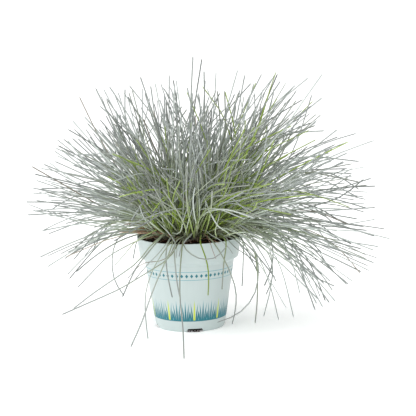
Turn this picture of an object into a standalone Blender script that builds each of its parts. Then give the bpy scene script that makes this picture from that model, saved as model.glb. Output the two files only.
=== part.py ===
"""A potted blue fescue: a tapered nursery pot, its soil, and the tufts of needle leaves that grow from it.

Metres, +Z up. The origin is the middle of the pot's base and -Y is the front. Every tuft is one solid: a short
sheath with five faces on top, out of which its leaves are extruded along their curves. The leaves that make the
outline, and those that hang over the pot, are placed where they show in the front view. The others fill the
clump, and each is tried until it clears its neighbours.
"""

import math
import random

import bmesh
import bpy
import numpy as np
from mathutils import Matrix, Vector

MM = 0.001

# The pot: a 12 cm nursery pot with a collar, a sloped shoulder and a tapered body.
POT_HEIGHT = 105 * MM
RIM_RADIUS = 60 * MM
LIP_ROUND = 0.5 * MM
COLLAR_FOOT = (56.8 * MM, 82 * MM)
SHOULDER_FOOT = (51.7 * MM, 78 * MM)
BODY_FOOT = (40.2 * MM, 3 * MM)
BASE_RADIUS = 38.5 * MM
WALL = 1.2 * MM
FLOOR = 1.5 * MM
ROUND_STEPS = 48

# The drainage slots in the foot of the wall.
SLOTS = 4
FIRST_SLOT_TURN = math.radians(-82)
SLOT_FOOT_WIDTH = 20 * MM
SLOT_TOP_WIDTH = 16 * MM
SLOT_HEIGHT = 4 * MM
SLOT_INNER_RADIUS = 30 * MM
SLOT_OUTER_RADIUS = 46 * MM

# The soil, with a level crown that the tufts stand on.
GAP = 0.3 * MM
SOIL_EDGE = 100.5 * MM
CROWN_LEVEL = 103.5 * MM
CROWN_EDGE_RADIUS = 39 * MM

# The tufts, spaced as seeds are in a flower head.
TUFTS = 56
CROWN_RADIUS = 33 * MM
CROWN_MIDDLE = Vector((3 * MM, -2 * MM, 0))
CROWN_TOP = CROWN_MIDDLE + Vector((0, 0, CROWN_LEVEL))
GOLDEN_TURN = math.radians(137.508)
WIDEST_LEAN = math.radians(98)
FRONT_LEAN_SHARE = 0.72
SHEATH_HEIGHT = 9 * MM
SHEATH_FOOT_RADIUS = 2.2 * MM
SHEATH_TOP_RADIUS = 1.7 * MM
SHEATH_LEAN_SHARE = 0.75
LEAVES_A_TUFT = 5
SPLAY = math.radians(13)

# The leaves: rolled needles, longer on the right-hand side.
LEAF_RADIUS = 0.75 * MM
TIP_SHARE = 0.35
MEAN_REACH = 205 * MM
REACH_SIDE_SHIFT = 17 * MM
FILL_REACH = (0.62, 0.97)
FILL_SPREAD = math.radians(15)
LEAF_CLEARANCE = 0.35 * MM
POT_CLEARANCE = 1.3 * MM
TRIES = 60
SEED = 7

# The front view that the leaves are placed by: where it aims, from how far, how steeply, and one pixel's size.
VIEW_AIM = Vector((22.5 * MM, 0, 136.3 * MM))
VIEW_DISTANCE = 1.8
VIEW_TILT = math.radians(8.7)
VIEW_ROLL = math.radians(1.0)
VIEW_PIXEL = 1.147 * MM
VIEW_MIDDLE = 208

# Leaf tips on the outline: pixels across and down, then millimetres from the pot's axis towards the viewer.
TOP_TIPS = (
    (193, 55, 10), (202, 58, -20), (204, 70, 30), (176, 79, -40), (172, 91, 40), (216, 71, -10),
    (238, 69, 20), (245, 74, -50), (254, 83, 35), (275, 74, -15), (281, 80, 45), (291, 89, -60),
    (309, 77, 10), (323, 73, -30), (312, 94, 50), (323, 97, 0), (155, 82, 25), (140, 76, -20),
    (132, 89, 40), (125, 88, -50), (109, 86, 15), (103, 88, -35), (95, 87, 45), (79, 96, -10),
)
LEFT_TIPS = (
    (72, 120, 30), (74, 129, -50), (56, 139, 10), (67, 140, 60), (63, 151, -35), (54, 161, 40),
    (43, 164, -60), (31, 166, 5), (34, 174, 55), (44, 180, -25), (32, 188, 30), (47, 196, -70),
    (25, 202, 15), (32, 210, 65), (33, 211, -30), (41, 231, 45),
)
RIGHT_TIPS = (
    (316, 122, 20), (338, 129, -30), (357, 133, 10), (348, 142, 50), (375, 140, -15), (345, 162, 60),
    (347, 168, -50), (352, 174, 25), (372, 178, -20), (377, 186, 35), (366, 204, -45), (365, 212, 15),
    (358, 219, 60), (386, 229, -10), (391, 239, 30), (362, 249, 55), (361, 232, -40),
)
LOW_TIPS = (
    (47, 256, 55), (60, 254, 75), (65, 258, 40), (76, 272, 45), (366, 255, 20), (370, 271, 40),
    (361, 274, -10), (354, 282, 50), (331, 282, 30), (324, 283, 70), (333, 291, 10), (336, 302, 60),
    (317, 304, 40), (319, 300, 80), (275, 278, 60),
)

# Leaves that bend over the rim or back on themselves, as the points they pass through after leaving the crown.
BENT_LEAVES = (
    ((178, 245, 66), (172, 256, 76), (148, 272, 87), (131, 284, 92), (75, 309, 104), (61, 315, 106)),
    ((158, 239, 58), (139, 262, 70), (117, 278, 78), (96, 292, 84), (73, 309, 88)),
    ((148, 237, 46), (131, 245, 52), (109, 256, 56), (77, 288, 60)),
    ((120, 234, 20), (112, 257, 22), (112, 273, 24), (116, 284, 26), (124, 296, 28)),
    ((158, 239, 57), (136, 267, 68), (122, 297, 72)),
    ((139, 237, 26), (133, 259, 30)),
    ((170, 243, 62), (151, 274, 78), (145, 303, 84), (148, 340, 88)),
    ((174, 243, 64), (164, 267, 86), (155, 288, 101), (145, 318, 114), (132, 349, 123)),
    ((181, 243, 66), (178, 274, 105), (178, 300, 130), (181, 326, 152), (183, 361, 171)),
    ((171, 243, 63), (169, 264, 71), (172, 286, 72), (175, 300, 72)),
    ((175, 243, 64), (175, 257, 73), (177, 280, 76), (181, 300, 76)),
    ((200, 241, 66), (205, 257, 76), (208, 273, 80), (208, 296, 80)),
    ((226, 241, 57), (224, 263, 66), (222, 290, 66)),
    ((183, 245, 68), (195, 256, 76), (208, 259, 78), (217, 256, 76), (226, 247, 72)),
    ((242, 238, 30), (243, 262, 38), (242, 287, 40)),
    ((217, 246, 68), (228, 267, 66), (235, 285, 62), (236, 305, 56), (232, 325, 50)),
    ((244, 237, 30), (255, 250, 40), (259, 270, 46), (256, 291, 50), (246, 306, 54), (233, 316, 58),
     (218, 321, 60)),
    ((243, 235, 18), (253, 247, 24), (257, 270, 28), (257, 300, 30), (255, 324, 32)),
    ((234, 239, 46), (246, 250, 58), (257, 261, 66)),
    ((247, 236, 8), (262, 246, 14), (270, 264, 18), (270, 282, 20), (266, 295, 22)),
    ((300, 172, 40), (330, 171, 44), (348, 179, 46), (360, 190, 46)),
    ((286, 197, 20), (315, 203, 24), (333, 223, 26)),
)


def material(name, colour, roughness):
    """A plain Principled material."""
    made = bpy.data.materials.new(name)
    made.use_nodes = True
    made.diffuse_color = (*colour, 1)
    shader = made.node_tree.nodes["Principled BSDF"]
    shader.inputs["Base Color"].default_value = (*colour, 1)
    shader.inputs["Roughness"].default_value = roughness
    shader.inputs["Metallic"].default_value = 0
    return made


def collection(name):
    """A new collection in the scene."""
    made = bpy.data.collections.new(name)
    bpy.context.scene.collection.children.link(made)
    return made


def mesh_object(name, mesh, into, finish=None):
    """An object that holds the mesh, smooth where its faces meet gently."""
    made = bpy.data.objects.new(name, mesh)
    into.objects.link(made)
    if finish:
        mesh.materials.append(finish)
    mesh.shade_smooth()
    mesh.set_sharp_from_angle(angle=math.radians(35))
    return made


def turned(name, profile, into, finish):
    """A profile of (radius, height) points, top to bottom down its outer side, turned about the Z axis."""
    mesh = bpy.data.meshes.new(name)
    points = [(radius, 0, height) for radius, height in profile]
    edges = [(i, i + 1) for i in range(len(points) - 1)]
    mesh.from_pydata(points, edges, [])
    made = mesh_object(name, mesh, into, finish)
    screw = made.modifiers.new("Turn", "SCREW")
    screw.steps = ROUND_STEPS
    screw.render_steps = ROUND_STEPS
    screw.use_merge_vertices = True
    screw.merge_threshold = 0.0001
    screw.use_smooth_shade = True
    return made


# The pot and the soil


def outer_radius(height):
    """The pot's outer radius at a height."""
    corners = ((BASE_RADIUS, 0), BODY_FOOT, SHOULDER_FOOT, COLLAR_FOOT, (RIM_RADIUS, POT_HEIGHT))
    radii, heights = zip(*corners)
    return float(np.interp(height, heights, radii))


def inner_radius(height):
    """The radius of the pot's inside at a height."""
    return outer_radius(height) - WALL


def pot_profile():
    """Up the inside from the middle of the floor, over the lip, and down the outside to the middle of the base."""
    collar_foot_radius, collar_foot = COLLAR_FOOT
    shoulder_foot_radius, shoulder_foot = SHOULDER_FOOT
    inside = [
        (0, FLOOR),
        (inner_radius(FLOOR), FLOOR),
        (shoulder_foot_radius - WALL, shoulder_foot),
        (collar_foot_radius - WALL, collar_foot),
        (RIM_RADIUS - WALL, POT_HEIGHT - LIP_ROUND),
    ]
    lip = [
        (RIM_RADIUS - WALL + LIP_ROUND / 2, POT_HEIGHT),
        (RIM_RADIUS - LIP_ROUND / 2, POT_HEIGHT),
        (RIM_RADIUS, POT_HEIGHT - LIP_ROUND),
    ]
    outside = [COLLAR_FOOT, SHOULDER_FOOT, BODY_FOOT, (BASE_RADIUS, 0), (0, 0)]
    return inside + lip + outside


def slot_cutter(turn, into):
    """A wedge that is wider at its foot, through the wall and the edge of the floor."""
    below = SLOT_HEIGHT
    shape = bmesh.new()
    bmesh.ops.create_cube(shape, size=1)
    for vert in shape.verts:
        top = vert.co.z > 0
        width = SLOT_TOP_WIDTH if top else 2 * SLOT_FOOT_WIDTH - SLOT_TOP_WIDTH
        radius = SLOT_OUTER_RADIUS if vert.co.x > 0 else SLOT_INNER_RADIUS
        vert.co = (radius, math.copysign(width / 2, vert.co.y), SLOT_HEIGHT if top else -below)
    mesh = bpy.data.meshes.new("slot_cutter")
    shape.to_mesh(mesh)
    shape.free()
    made = mesh_object("slot_cutter", mesh, into)
    made.rotation_euler.z = turn
    made.hide_render = True
    made.display_type = "WIRE"
    return made


def make_pot(parts, cutters):
    """The turned pot with its slots cut out."""
    pot = turned("pot", pot_profile(), parts, material("mint_plastic", (0.70, 0.82, 0.80), 0.35))
    for i in range(SLOTS):
        cut = pot.modifiers.new(f"Slot {i + 1}", "BOOLEAN")
        cut.operation = "DIFFERENCE"
        cut.solver = "EXACT"
        cut.object = slot_cutter(FIRST_SLOT_TURN + i * math.tau / SLOTS, cutters)


def soil_height(radius):
    """The soil's surface at a distance from the pot's axis."""
    edge = inner_radius(SOIL_EDGE) - GAP
    return float(np.interp(radius, (CROWN_EDGE_RADIUS, edge), (CROWN_LEVEL, SOIL_EDGE)))


def make_soil(parts):
    """The soil fills the pot to a gap from its wall."""
    foot = FLOOR + GAP
    profile = [
        (0, CROWN_LEVEL),
        (CROWN_EDGE_RADIUS, CROWN_LEVEL),
        (inner_radius(SOIL_EDGE) - GAP, SOIL_EDGE),
        (inner_radius(COLLAR_FOOT[1]) - GAP, COLLAR_FOOT[1] + GAP),
        (inner_radius(SHOULDER_FOOT[1]) - GAP, SHOULDER_FOOT[1] + GAP),
        (inner_radius(foot) - GAP, foot),
        (0, foot),
    ]
    turned("soil", profile, parts, material("soil", (0.035, 0.022, 0.016), 0.95))


# Where the leaves go


def seen_at(across, down, toward):
    """The place that shows at a pixel of the front view and lies this many millimetres before the pot's axis."""
    ahead = Vector((0, math.cos(VIEW_TILT), -math.sin(VIEW_TILT)))
    up = Vector((0, math.sin(VIEW_TILT), math.cos(VIEW_TILT)))
    eye = VIEW_AIM - ahead * VIEW_DISTANCE
    offset = Vector(((across - VIEW_MIDDLE) * VIEW_PIXEL, (VIEW_MIDDLE - down) * VIEW_PIXEL))
    offset.rotate(Matrix.Rotation(-VIEW_ROLL, 2))
    ray = ahead * VIEW_DISTANCE + Vector((offset.x, 0, 0)) + up * offset.y
    return eye + ray * ((-toward * MM - eye.y) / ray.y)


class Tuft:
    """One sheath: where it stands, how it leans, and the leaves that grow from its five top faces."""

    def __init__(self, index):
        share = (index + 0.5) / TUFTS
        turn = index * GOLDEN_TURN
        out = Vector((math.cos(turn), math.sin(turn), 0))
        lean = math.acos(1 - share * (1 - math.cos(WIDEST_LEAN)))
        frontness = max(0, -out.y)
        lean *= 1 - (1 - FRONT_LEAN_SHARE) * frontness
        self.name = f"tuft_{index + 1:02d}"
        self.foot = CROWN_MIDDLE + out * CROWN_RADIUS * math.sqrt(share)
        self.foot.z = CROWN_LEVEL + GAP
        self.aim = out * math.sin(lean) + Vector((0, 0, math.cos(lean)))
        sheath_lean = lean * SHEATH_LEAN_SHARE
        self.axis = out * math.sin(sheath_lean) + Vector((0, 0, math.cos(sheath_lean)))
        self.side = self.axis.orthogonal().normalized()
        self.top = self.foot + self.axis * SHEATH_HEIGHT
        self.leaves = [None] * LEAVES_A_TUFT

    def outward(self, place):
        """The direction across the sheath towards the middle of a top face."""
        turn = (place + 0.5) * math.tau / LEAVES_A_TUFT
        return Matrix.Rotation(turn, 3, self.axis) @ self.side

    def root(self, place):
        """The middle of a top face."""
        return self.top + self.outward(place) * SHEATH_TOP_RADIUS * 0.54

    def heading(self, place):
        """Where a leaf from this top face would point if nothing else were asked."""
        return (self.aim + self.outward(place) * math.tan(SPLAY)).normalized()


def bezier(root, tip, start, end, count=24):
    """Points on a cubic curve from root to tip that leaves along start and arrives along end."""
    reach = (tip - root).length / 3
    controls = [np.array(p) for p in (root, root + start * reach, tip - end * reach, tip)]
    t = np.linspace(0, 1, count)[:, None]
    weights = ((1 - t) ** 3, 3 * t * (1 - t) ** 2, 3 * t**2 * (1 - t), t**3)
    return sum(weight * control for weight, control in zip(weights, controls))


def through(places, count=8):
    """Points on a smooth curve through all the places, which runs straight out at both ends."""
    knots = np.array([2 * places[0] - places[1], *places, 2 * places[-1] - places[-2]])
    t = np.linspace(0, 1, count, endpoint=False)[:, None]
    pieces = []
    for before, first, second, after in zip(knots, knots[1:], knots[2:], knots[3:]):
        slopes = (second - before) / 2, (after - first) / 2
        pieces.append(
            first * (2 * t**3 - 3 * t**2 + 1) + second * (3 * t**2 - 2 * t**3)
            + slopes[0] * (t**3 - 2 * t**2 + t) + slopes[1] * (t**3 - t**2)
        )
    return np.concatenate([*pieces, knots[-2:-1]])


def bend(curve):
    """How far a curve stands off the straight line between its ends, as a share of that line."""
    chord = curve[-1] - curve[0]
    along = np.outer((curve - curve[0]) @ chord / (chord @ chord), chord)
    return np.linalg.norm(curve - curve[0] - along, axis=1).max() / np.linalg.norm(chord)


def rings(curve):
    """A few places along a curve, closer near its root, more of them where it bends more."""
    count = 4 + int(np.searchsorted((0.05, 0.12, 0.25), bend(curve)))
    steps = np.linalg.norm(np.diff(curve, axis=0), axis=1)
    passed = np.concatenate([[0], np.cumsum(steps)])
    wanted = passed[-1] * np.linspace(0, 1, count + 1) ** 1.15
    return np.stack([np.interp(wanted, passed, curve[:, k]) for k in range(3)], axis=1)


def radius_at(share):
    """A leaf's radius at a share of its length, slow to narrow at first."""
    return LEAF_RADIUS * (1 - (1 - TIP_SHARE) * np.asarray(share) ** 1.5)


def gaps(starts, ends, other_starts, other_ends):
    """The distance from every straight stretch to every other one."""
    first = (ends - starts)[:, None]
    second = (other_ends - other_starts)[None]
    between = starts[:, None] - other_starts[None]
    a, e, b = (first * first).sum(2), (second * second).sum(2), (first * second).sum(2)
    c, f = (first * between).sum(2), (second * between).sum(2)
    s = np.clip((b * f - c * e) / np.maximum(a * e - b * b, 1e-18), 0, 1)
    t = np.clip((b * s + f) / e, 0, 1)
    s = np.clip((b * t - c) / a, 0, 1)
    return np.linalg.norm(between + first * s[..., None] - second * t[..., None], axis=2)


class Clump:
    """All stretches placed so far, and whether a new leaf clears them."""

    def __init__(self, tufts):
        self.starts = np.array([tuft.foot for tuft in tufts])
        self.ends = np.array([tuft.top for tuft in tufts])
        self.radii = np.full(len(tufts), SHEATH_FOOT_RADIUS)
        self.owners = np.arange(len(tufts))

    def clears_leaves(self, owner, line):
        """True if the leaf keeps its distance from all other leaves and sheaths."""
        radii = radius_at(np.linspace(0, 1, len(line))[:-1])
        least = gaps(line[:-1], line[1:], self.starts, self.ends)
        least -= radii[:, None] + self.radii[None] + LEAF_CLEARANCE
        least[0, self.owners == owner] = 1
        is_own_sheath = (self.owners == owner) & (self.radii > LEAF_RADIUS)
        least[:, is_own_sheath] = 1
        return least.min() > 0

    def add(self, owner, line):
        """Takes a leaf in. Its brothers may come near its first stretch, as they share a sheath."""
        count = len(line) - 1
        self.starts = np.concatenate([self.starts, line[:-1]])
        self.ends = np.concatenate([self.ends, line[1:]])
        self.radii = np.concatenate([self.radii, radius_at(np.linspace(0, 1, count + 1)[:-1])])
        self.owners = np.concatenate([self.owners, np.full(count, owner)])


def clears_pot(line):
    """True if the leaf stays above the floor, the soil and the rim, and outside the wall."""
    for start, end in zip(line, line[1:]):
        for share in np.linspace(0, 1, 6):
            x, y, height = start + (end - start) * share
            radius = math.hypot(x, y)
            if height < POT_CLEARANCE:
                return False
            if radius < inner_radius(POT_HEIGHT) and height < soil_height(radius) + POT_CLEARANCE:
                return False
            if height < POT_HEIGHT + POT_CLEARANCE:
                over_wall = radius > RIM_RADIUS - 6 * WALL
                if over_wall and radius < outer_radius(height) + POT_CLEARANCE:
                    return False
    return True


def heading_angle(tuft, place, tip):
    """The angle between where a top face points and where a tip lies."""
    return tuft.heading(place).angle(tip - tuft.root(place))


def free_place(tufts, tip):
    """The free top face whose own heading is nearest to the way to this tip."""
    free = [(tuft, k) for tuft in tufts for k in range(LEAVES_A_TUFT) if tuft.leaves[k] is None]
    return min(free, key=lambda pair: heading_angle(*pair, tip))


def plain_curve(tuft, place, tip, rise, sway):
    """A leaf that leaves its sheath upwards and settles into a gentle arch."""
    root = tuft.root(place)
    chord = (tip - root).normalized()
    start = (chord + tuft.axis * 0.55 + Vector((0, 0, rise)) + sway).normalized()
    end = (chord - Vector((0, 0, rise * 0.8)) - sway).normalized()
    return bezier(root, tip, start, end)


def any_way(draws, size):
    """A small vector in any direction."""
    return Vector([draws.uniform(-size, size) for _ in range(3)])


def place_leaf(clump, tufts, owner, place, make_curve):
    """Tries curves until one clears the clump and the pot."""
    for attempt in range(TRIES):
        line = rings(make_curve(attempt))
        if clears_pot(line) and clump.clears_leaves(owner, line):
            clump.add(owner, line)
            tufts[owner].leaves[place] = line
            return


def place_outline_leaves(clump, tufts, draws):
    """The leaves whose tips make the outline."""
    for seen in (*LOW_TIPS, *LEFT_TIPS, *RIGHT_TIPS, *TOP_TIPS):
        tip = seen_at(*seen)
        tuft, place = free_place(tufts, tip)

        def curve(attempt, tip=tip, tuft=tuft, place=place):
            level = max(0, 1 - abs(tip.z - CROWN_LEVEL) / MEAN_REACH)
            low = max(0, POT_HEIGHT + 25 * MM - tip.z) / (50 * MM)
            rise = 0.05 + 0.15 * level + 0.3 * low + 0.02 * attempt
            nudge = any_way(draws, 0.3 * MM * attempt)
            moved = tip + Vector((0.2 * nudge.x, nudge.y, 0.2 * nudge.z))
            return plain_curve(tuft, place, moved, rise, any_way(draws, 0.16 + 0.004 * attempt))

        place_leaf(clump, tufts, tufts.index(tuft), place, curve)


def place_bent_leaves(clump, tufts, draws):
    """The leaves that hang over the rim or bend back."""
    for seen in BENT_LEAVES:
        places = [seen_at(*point) for point in seen]
        tuft, place = free_place(tufts, places[0])

        def curve(attempt, places=places, tuft=tuft, place=place):
            nudge = Vector((0, -0.25 * MM * attempt, 0)) + any_way(draws, 0.1 * MM * attempt)
            root = tuft.root(place)
            lift = root + tuft.axis * 6 * MM
            return through([root, lift, *(point + nudge for point in places)])

        place_leaf(clump, tufts, tufts.index(tuft), place, curve)


def place_fill_leaves(clump, tufts, draws):
    """The leaves that fill the clump between the placed ones."""
    for owner, tuft in enumerate(tufts):
        for place in range(LEAVES_A_TUFT):
            if tuft.leaves[place] is not None:
                continue

            def curve(attempt, tuft=tuft, place=place):
                spread = math.tan(FILL_SPREAD) * (1 + attempt / TRIES)
                heading = (tuft.heading(place) + any_way(draws, spread)).normalized()
                full = MEAN_REACH + REACH_SIDE_SHIFT * heading.x
                tip = CROWN_TOP + heading * full * draws.uniform(*FILL_REACH)
                rise = draws.uniform(0.0, 0.35) * math.sqrt(heading.x**2 + heading.y**2)
                return plain_curve(tuft, place, tip, rise, any_way(draws, 0.22))

            place_leaf(clump, tufts, owner, place, curve)


def lay_out():
    """Every tuft with the ring places of its leaves."""
    draws = random.Random(SEED)
    tufts = [Tuft(index) for index in range(TUFTS)]
    clump = Clump(tufts)
    place_bent_leaves(clump, tufts, draws)
    place_outline_leaves(clump, tufts, draws)
    place_fill_leaves(clump, tufts, draws)
    return tufts


# The tufts as solids


def corner_turn(arm, across, beside):
    """Where a corner of a top face goes on a leaf's rings: one looks back at the sheath's middle, two look out."""
    if arm.dot(across) < 0:
        return math.pi
    return math.copysign(math.pi / 3, arm.dot(beside))


def extrude_leaf(shape, face, tuft, place, line):
    """Draws a top face of the sheath out along the leaf, ring by ring, to a point."""
    across = tuft.outward(place)
    beside = tuft.axis.cross(across)
    middle = face.calc_center_median()
    turns = [corner_turn(vert.co - middle, across, beside) for vert in face.verts]
    places = [Vector(point) for point in line]
    radii = radius_at(np.linspace(0, 1, len(places)))
    for before, here, after, radius in zip(places, places[1:], places[2:], radii[1:]):
        face = bmesh.ops.extrude_discrete_faces(shape, faces=[face])["faces"][0]
        heading = (after - before).normalized()
        across = (across - heading * across.dot(heading)).normalized()
        beside = heading.cross(across)
        for vert, turn in zip(face.verts, turns):
            vert.co = here + (across * math.cos(turn) + beside * math.sin(turn)) * float(radius)
    face = bmesh.ops.extrude_discrete_faces(shape, faces=[face])["faces"][0]
    bmesh.ops.pointmerge(shape, verts=face.verts[:], merge_co=places[-1])


def make_tuft(tuft, parts, finish):
    """The sheath, a five-sided cone, with its leaves drawn out of its top faces."""
    shape = bmesh.new()
    bmesh.ops.create_cone(
        shape, cap_ends=True, cap_tris=True, segments=LEAVES_A_TUFT,
        radius1=SHEATH_FOOT_RADIUS, radius2=SHEATH_TOP_RADIUS, depth=SHEATH_HEIGHT,
    )
    top_faces = [face for face in shape.faces if all(vert.co.z > 0 for vert in face.verts)]
    for vert in shape.verts:
        arm = tuft.side * vert.co.x + tuft.axis.cross(tuft.side) * vert.co.y
        if vert.co.z > 0:
            vert.co = tuft.top + arm
        else:
            vert.co = tuft.foot + Vector((arm.x, arm.y, 0))
    for place, line in enumerate(tuft.leaves):
        if line is None:
            continue
        root = tuft.root(place)
        face = min(top_faces, key=lambda top: (top.calc_center_median() - root).length)
        top_faces.remove(face)
        extrude_leaf(shape, face, tuft, place, line)
    mesh = bpy.data.meshes.new(tuft.name)
    shape.to_mesh(mesh)
    shape.free()
    mesh_object(tuft.name, mesh, parts, finish)


def main():
    """Clears the scene and builds the potted clump."""
    for obj in list(bpy.data.objects):
        bpy.data.objects.remove(obj, do_unlink=True)
    parts = collection("Potted blue fescue clump")
    cutters = collection("Cutters")
    make_pot(parts, cutters)
    make_soil(parts)
    leaf_finish = material("blue_leaf", (0.36, 0.45, 0.42), 0.55)
    for tuft in lay_out():
        make_tuft(tuft, parts, leaf_finish)


if __name__ == "__main__":
    main()
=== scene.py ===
"""The looks of a potted blue fescue clump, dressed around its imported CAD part.

Metres, +Z up. The origin is the middle of the pot's base and -Y is the front. A CAD tuft has a few stout
leaves that stand for all those of its tillers. Their lines are read back from its node, drawn as fine rolled
needles, and joined by the thinner needles that grow beside them out of the same sheath.
"""

import logging
import math
import random
from collections.abc import Mapping, Sequence
from dataclasses import dataclass, field
from enum import Enum
from typing import NamedTuple

import bmesh
import bpy
import numpy as np
from mathutils import Matrix, Vector, noise


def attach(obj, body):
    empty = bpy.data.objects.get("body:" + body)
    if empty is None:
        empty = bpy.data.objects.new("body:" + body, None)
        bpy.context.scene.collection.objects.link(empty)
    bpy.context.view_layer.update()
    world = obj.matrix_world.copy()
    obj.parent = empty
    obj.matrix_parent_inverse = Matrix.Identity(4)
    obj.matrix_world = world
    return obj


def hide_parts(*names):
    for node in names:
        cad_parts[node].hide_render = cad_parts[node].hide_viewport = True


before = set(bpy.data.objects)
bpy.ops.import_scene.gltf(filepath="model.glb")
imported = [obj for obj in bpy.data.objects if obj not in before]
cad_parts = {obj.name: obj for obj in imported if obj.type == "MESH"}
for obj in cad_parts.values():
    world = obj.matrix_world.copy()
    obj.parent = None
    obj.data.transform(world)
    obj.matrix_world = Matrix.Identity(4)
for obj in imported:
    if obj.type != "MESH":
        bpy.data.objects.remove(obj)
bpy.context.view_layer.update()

LOG = logging.getLogger("potted_blue_fescue")
MM = 0.001
UP = Vector((0, 0, 1))
UP_AXIS = np.array(UP)
WHITE = (1.0, 1.0, 1.0, 1.0)

# The colour sockets of a Mix node, which has one set for each kind of value.
MIX_FIRST, MIX_SECOND, MIX_RESULT = 6, 7, 2

Socket = bpy.types.NodeSocket
Tree = bpy.types.NodeTree
Inputs = Mapping[str | int, object] | Sequence[object]
Colour = tuple[float, float, float, float]
Stops = tuple[tuple[float, str], ...]
Face = tuple[int, ...]


class Slot(Enum):
    """Names of material slots for the pot, the soil and the leaves; the script doesn't use them."""

    POT = "pot_plastic"
    SOIL = "soil"
    LEAF = "leaf"


class LeafState(NamedTuple):
    """How a leaf looks.

    Attributes:
        fresh: how little wax it has, from 0 to 1.
        dry: how dry it is, from 0 to 1.
        darkest: the darkest tone that it comes in, from 0 to 1.
        lightest: the lightest.
        ripe: how far along the colours of a grown leaf its tip is.
    """

    fresh: float
    dry: float
    darkest: float
    lightest: float
    ripe: float = 1.0


class LeafKind(Enum):
    """The states that the leaves are in."""

    BLUE = LeafState(fresh=0.0, dry=0.0, darkest=0.2, lightest=1.0)
    GREEN = LeafState(fresh=0.75, dry=0.0, darkest=0.1, lightest=0.5)
    LIME = LeafState(fresh=1.0, dry=0.0, darkest=0.3, lightest=0.65, ripe=0.45)
    STRAW = LeafState(fresh=0.5, dry=0.45, darkest=0.2, lightest=0.8)
    DRY = LeafState(fresh=0.0, dry=1.0, darkest=0.2, lightest=0.9)


BLUE, GREEN, LIME, STRAW, DRY = LeafKind


# Shared helpers


def linear(hex_colour: str) -> Colour:
    """Turns an sRGB hex colour to linear light, by the sRGB curve.

    Args:
        hex_colour: the colour as "#RRGGBB".

    Returns:
        Red, green, blue and a full alpha.
    """
    parts = [int(hex_colour[i : i + 2], 16) / 255 for i in (1, 3, 5)]
    red, green, blue = (p / 12.92 if p <= 0.04045 else ((p + 0.055) / 1.055) ** 2.4 for p in parts)
    return red, green, blue, 1.0


def feed(node: bpy.types.Node, inputs: Inputs) -> None:
    """Links or sets what goes into a node.

    Args:
        node: the node.
        inputs: sockets to link or values to set, in the order of the node's inputs, or by their name or
            number.
    """
    for key, value in inputs.items() if isinstance(inputs, Mapping) else enumerate(inputs):
        if isinstance(value, Socket):
            node.id_data.links.new(value, node.inputs[key])
        else:
            node.inputs[key].default_value = value


def add(tree: Tree, kind: str, inputs: Inputs = (), out: str | int = 0, **settings: object) -> Socket:
    """Adds a node with its settings and what feeds it.

    Args:
        tree: the node tree that takes the node.
        kind: the node's type without its "ShaderNode", such as "Math".
        inputs: what goes into it, as feed takes it.
        out: which of its outputs is wanted, by name or number.
        settings: the node's own properties, by name.

    Returns:
        That output.
    """
    node = tree.nodes.new(f"ShaderNode{kind}")
    for name, value in settings.items():
        setattr(node, name, value)
    feed(node, inputs)
    return node.outputs[out]


def set_ramp(colour: Socket, stops: Stops) -> Socket:
    """Gives a colour ramp its stops.

    Args:
        colour: the ramp's colour output.
        stops: where each colour stands from 0 to 1, and the colour as hex.

    Returns:
        The same output.
    """
    elements = colour.node.color_ramp.elements
    while len(elements) < len(stops):
        elements.new(1.0)
    for element, (position, hex_colour) in zip(elements, stops):
        element.position = position
        element.color = linear(hex_colour)
    return colour


def new_material(name: str) -> tuple[bpy.types.Material, Tree, bpy.types.Node]:
    """A material, its node tree and its Principled shader."""
    material = bpy.data.materials.new(name)
    material.use_nodes = True
    return material, material.node_tree, material.node_tree.nodes["Principled BSDF"]


def in_scene(name: str, data: bpy.types.ID) -> bpy.types.Object:
    """An object of some data, in the scene."""
    made = bpy.data.objects.new(name, data)
    bpy.context.scene.collection.objects.link(made)
    return made


def mesh_object(
    name: str,
    points: Sequence[Sequence[float]],
    faces: Sequence[Sequence[int]],
    finish: bpy.types.Material,
    attributes: Mapping[str, Sequence[float]] | None = None,
) -> bpy.types.Object:
    """Makes an object of a mesh, in the scene.

    Args:
        name: the piece's name.
        points: x, y and z of each corner.
        faces: the corners of each face, outward.
        finish: the material.
        attributes: a number for each corner, by name, for the material to read.

    Returns:
        The object.
    """
    mesh = bpy.data.meshes.new(name)
    mesh.from_pydata([tuple(point) for point in points], [], [tuple(face) for face in faces])
    for key, values in (attributes or {}).items():
        layer = mesh.attributes.new(key, "FLOAT", "POINT")
        layer.data.foreach_set("value", np.asarray(values, np.float32))
    mesh.materials.append(finish)
    mesh.shade_smooth()
    return in_scene(name, mesh)


def ring_faces(rings: int, steps: int) -> list[Face]:
    """Joins rings of corners, one after the other, and closes both ends on a corner in the middle.

    Args:
        rings: how many rings there are.
        steps: how many corners each of them has.

    Returns:
        The faces, for the first end's corner, the rings and the last end's corner, numbered in that order.
    """
    faces, end = [], (rings - 1) * steps
    for step in range(steps):
        here, after = 1 + step, 1 + (step + 1) % steps
        faces.append((0, here, after))
        for low in range(0, end, steps):
            high = low + steps
            faces.append((low + here, high + here, high + after, low + after))
        faces.append((end + here, end + steps + 1, end + after))
    return faces


def unit(vector: np.ndarray) -> np.ndarray:
    """The vector at length 1."""
    return vector / max(float(np.linalg.norm(vector)), 1e-12)


def any_way(draws: random.Random, size: float) -> np.ndarray:
    """A small vector in any direction."""
    return np.array([draws.gauss(0, size) for _ in range(3)])


# The view


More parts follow.
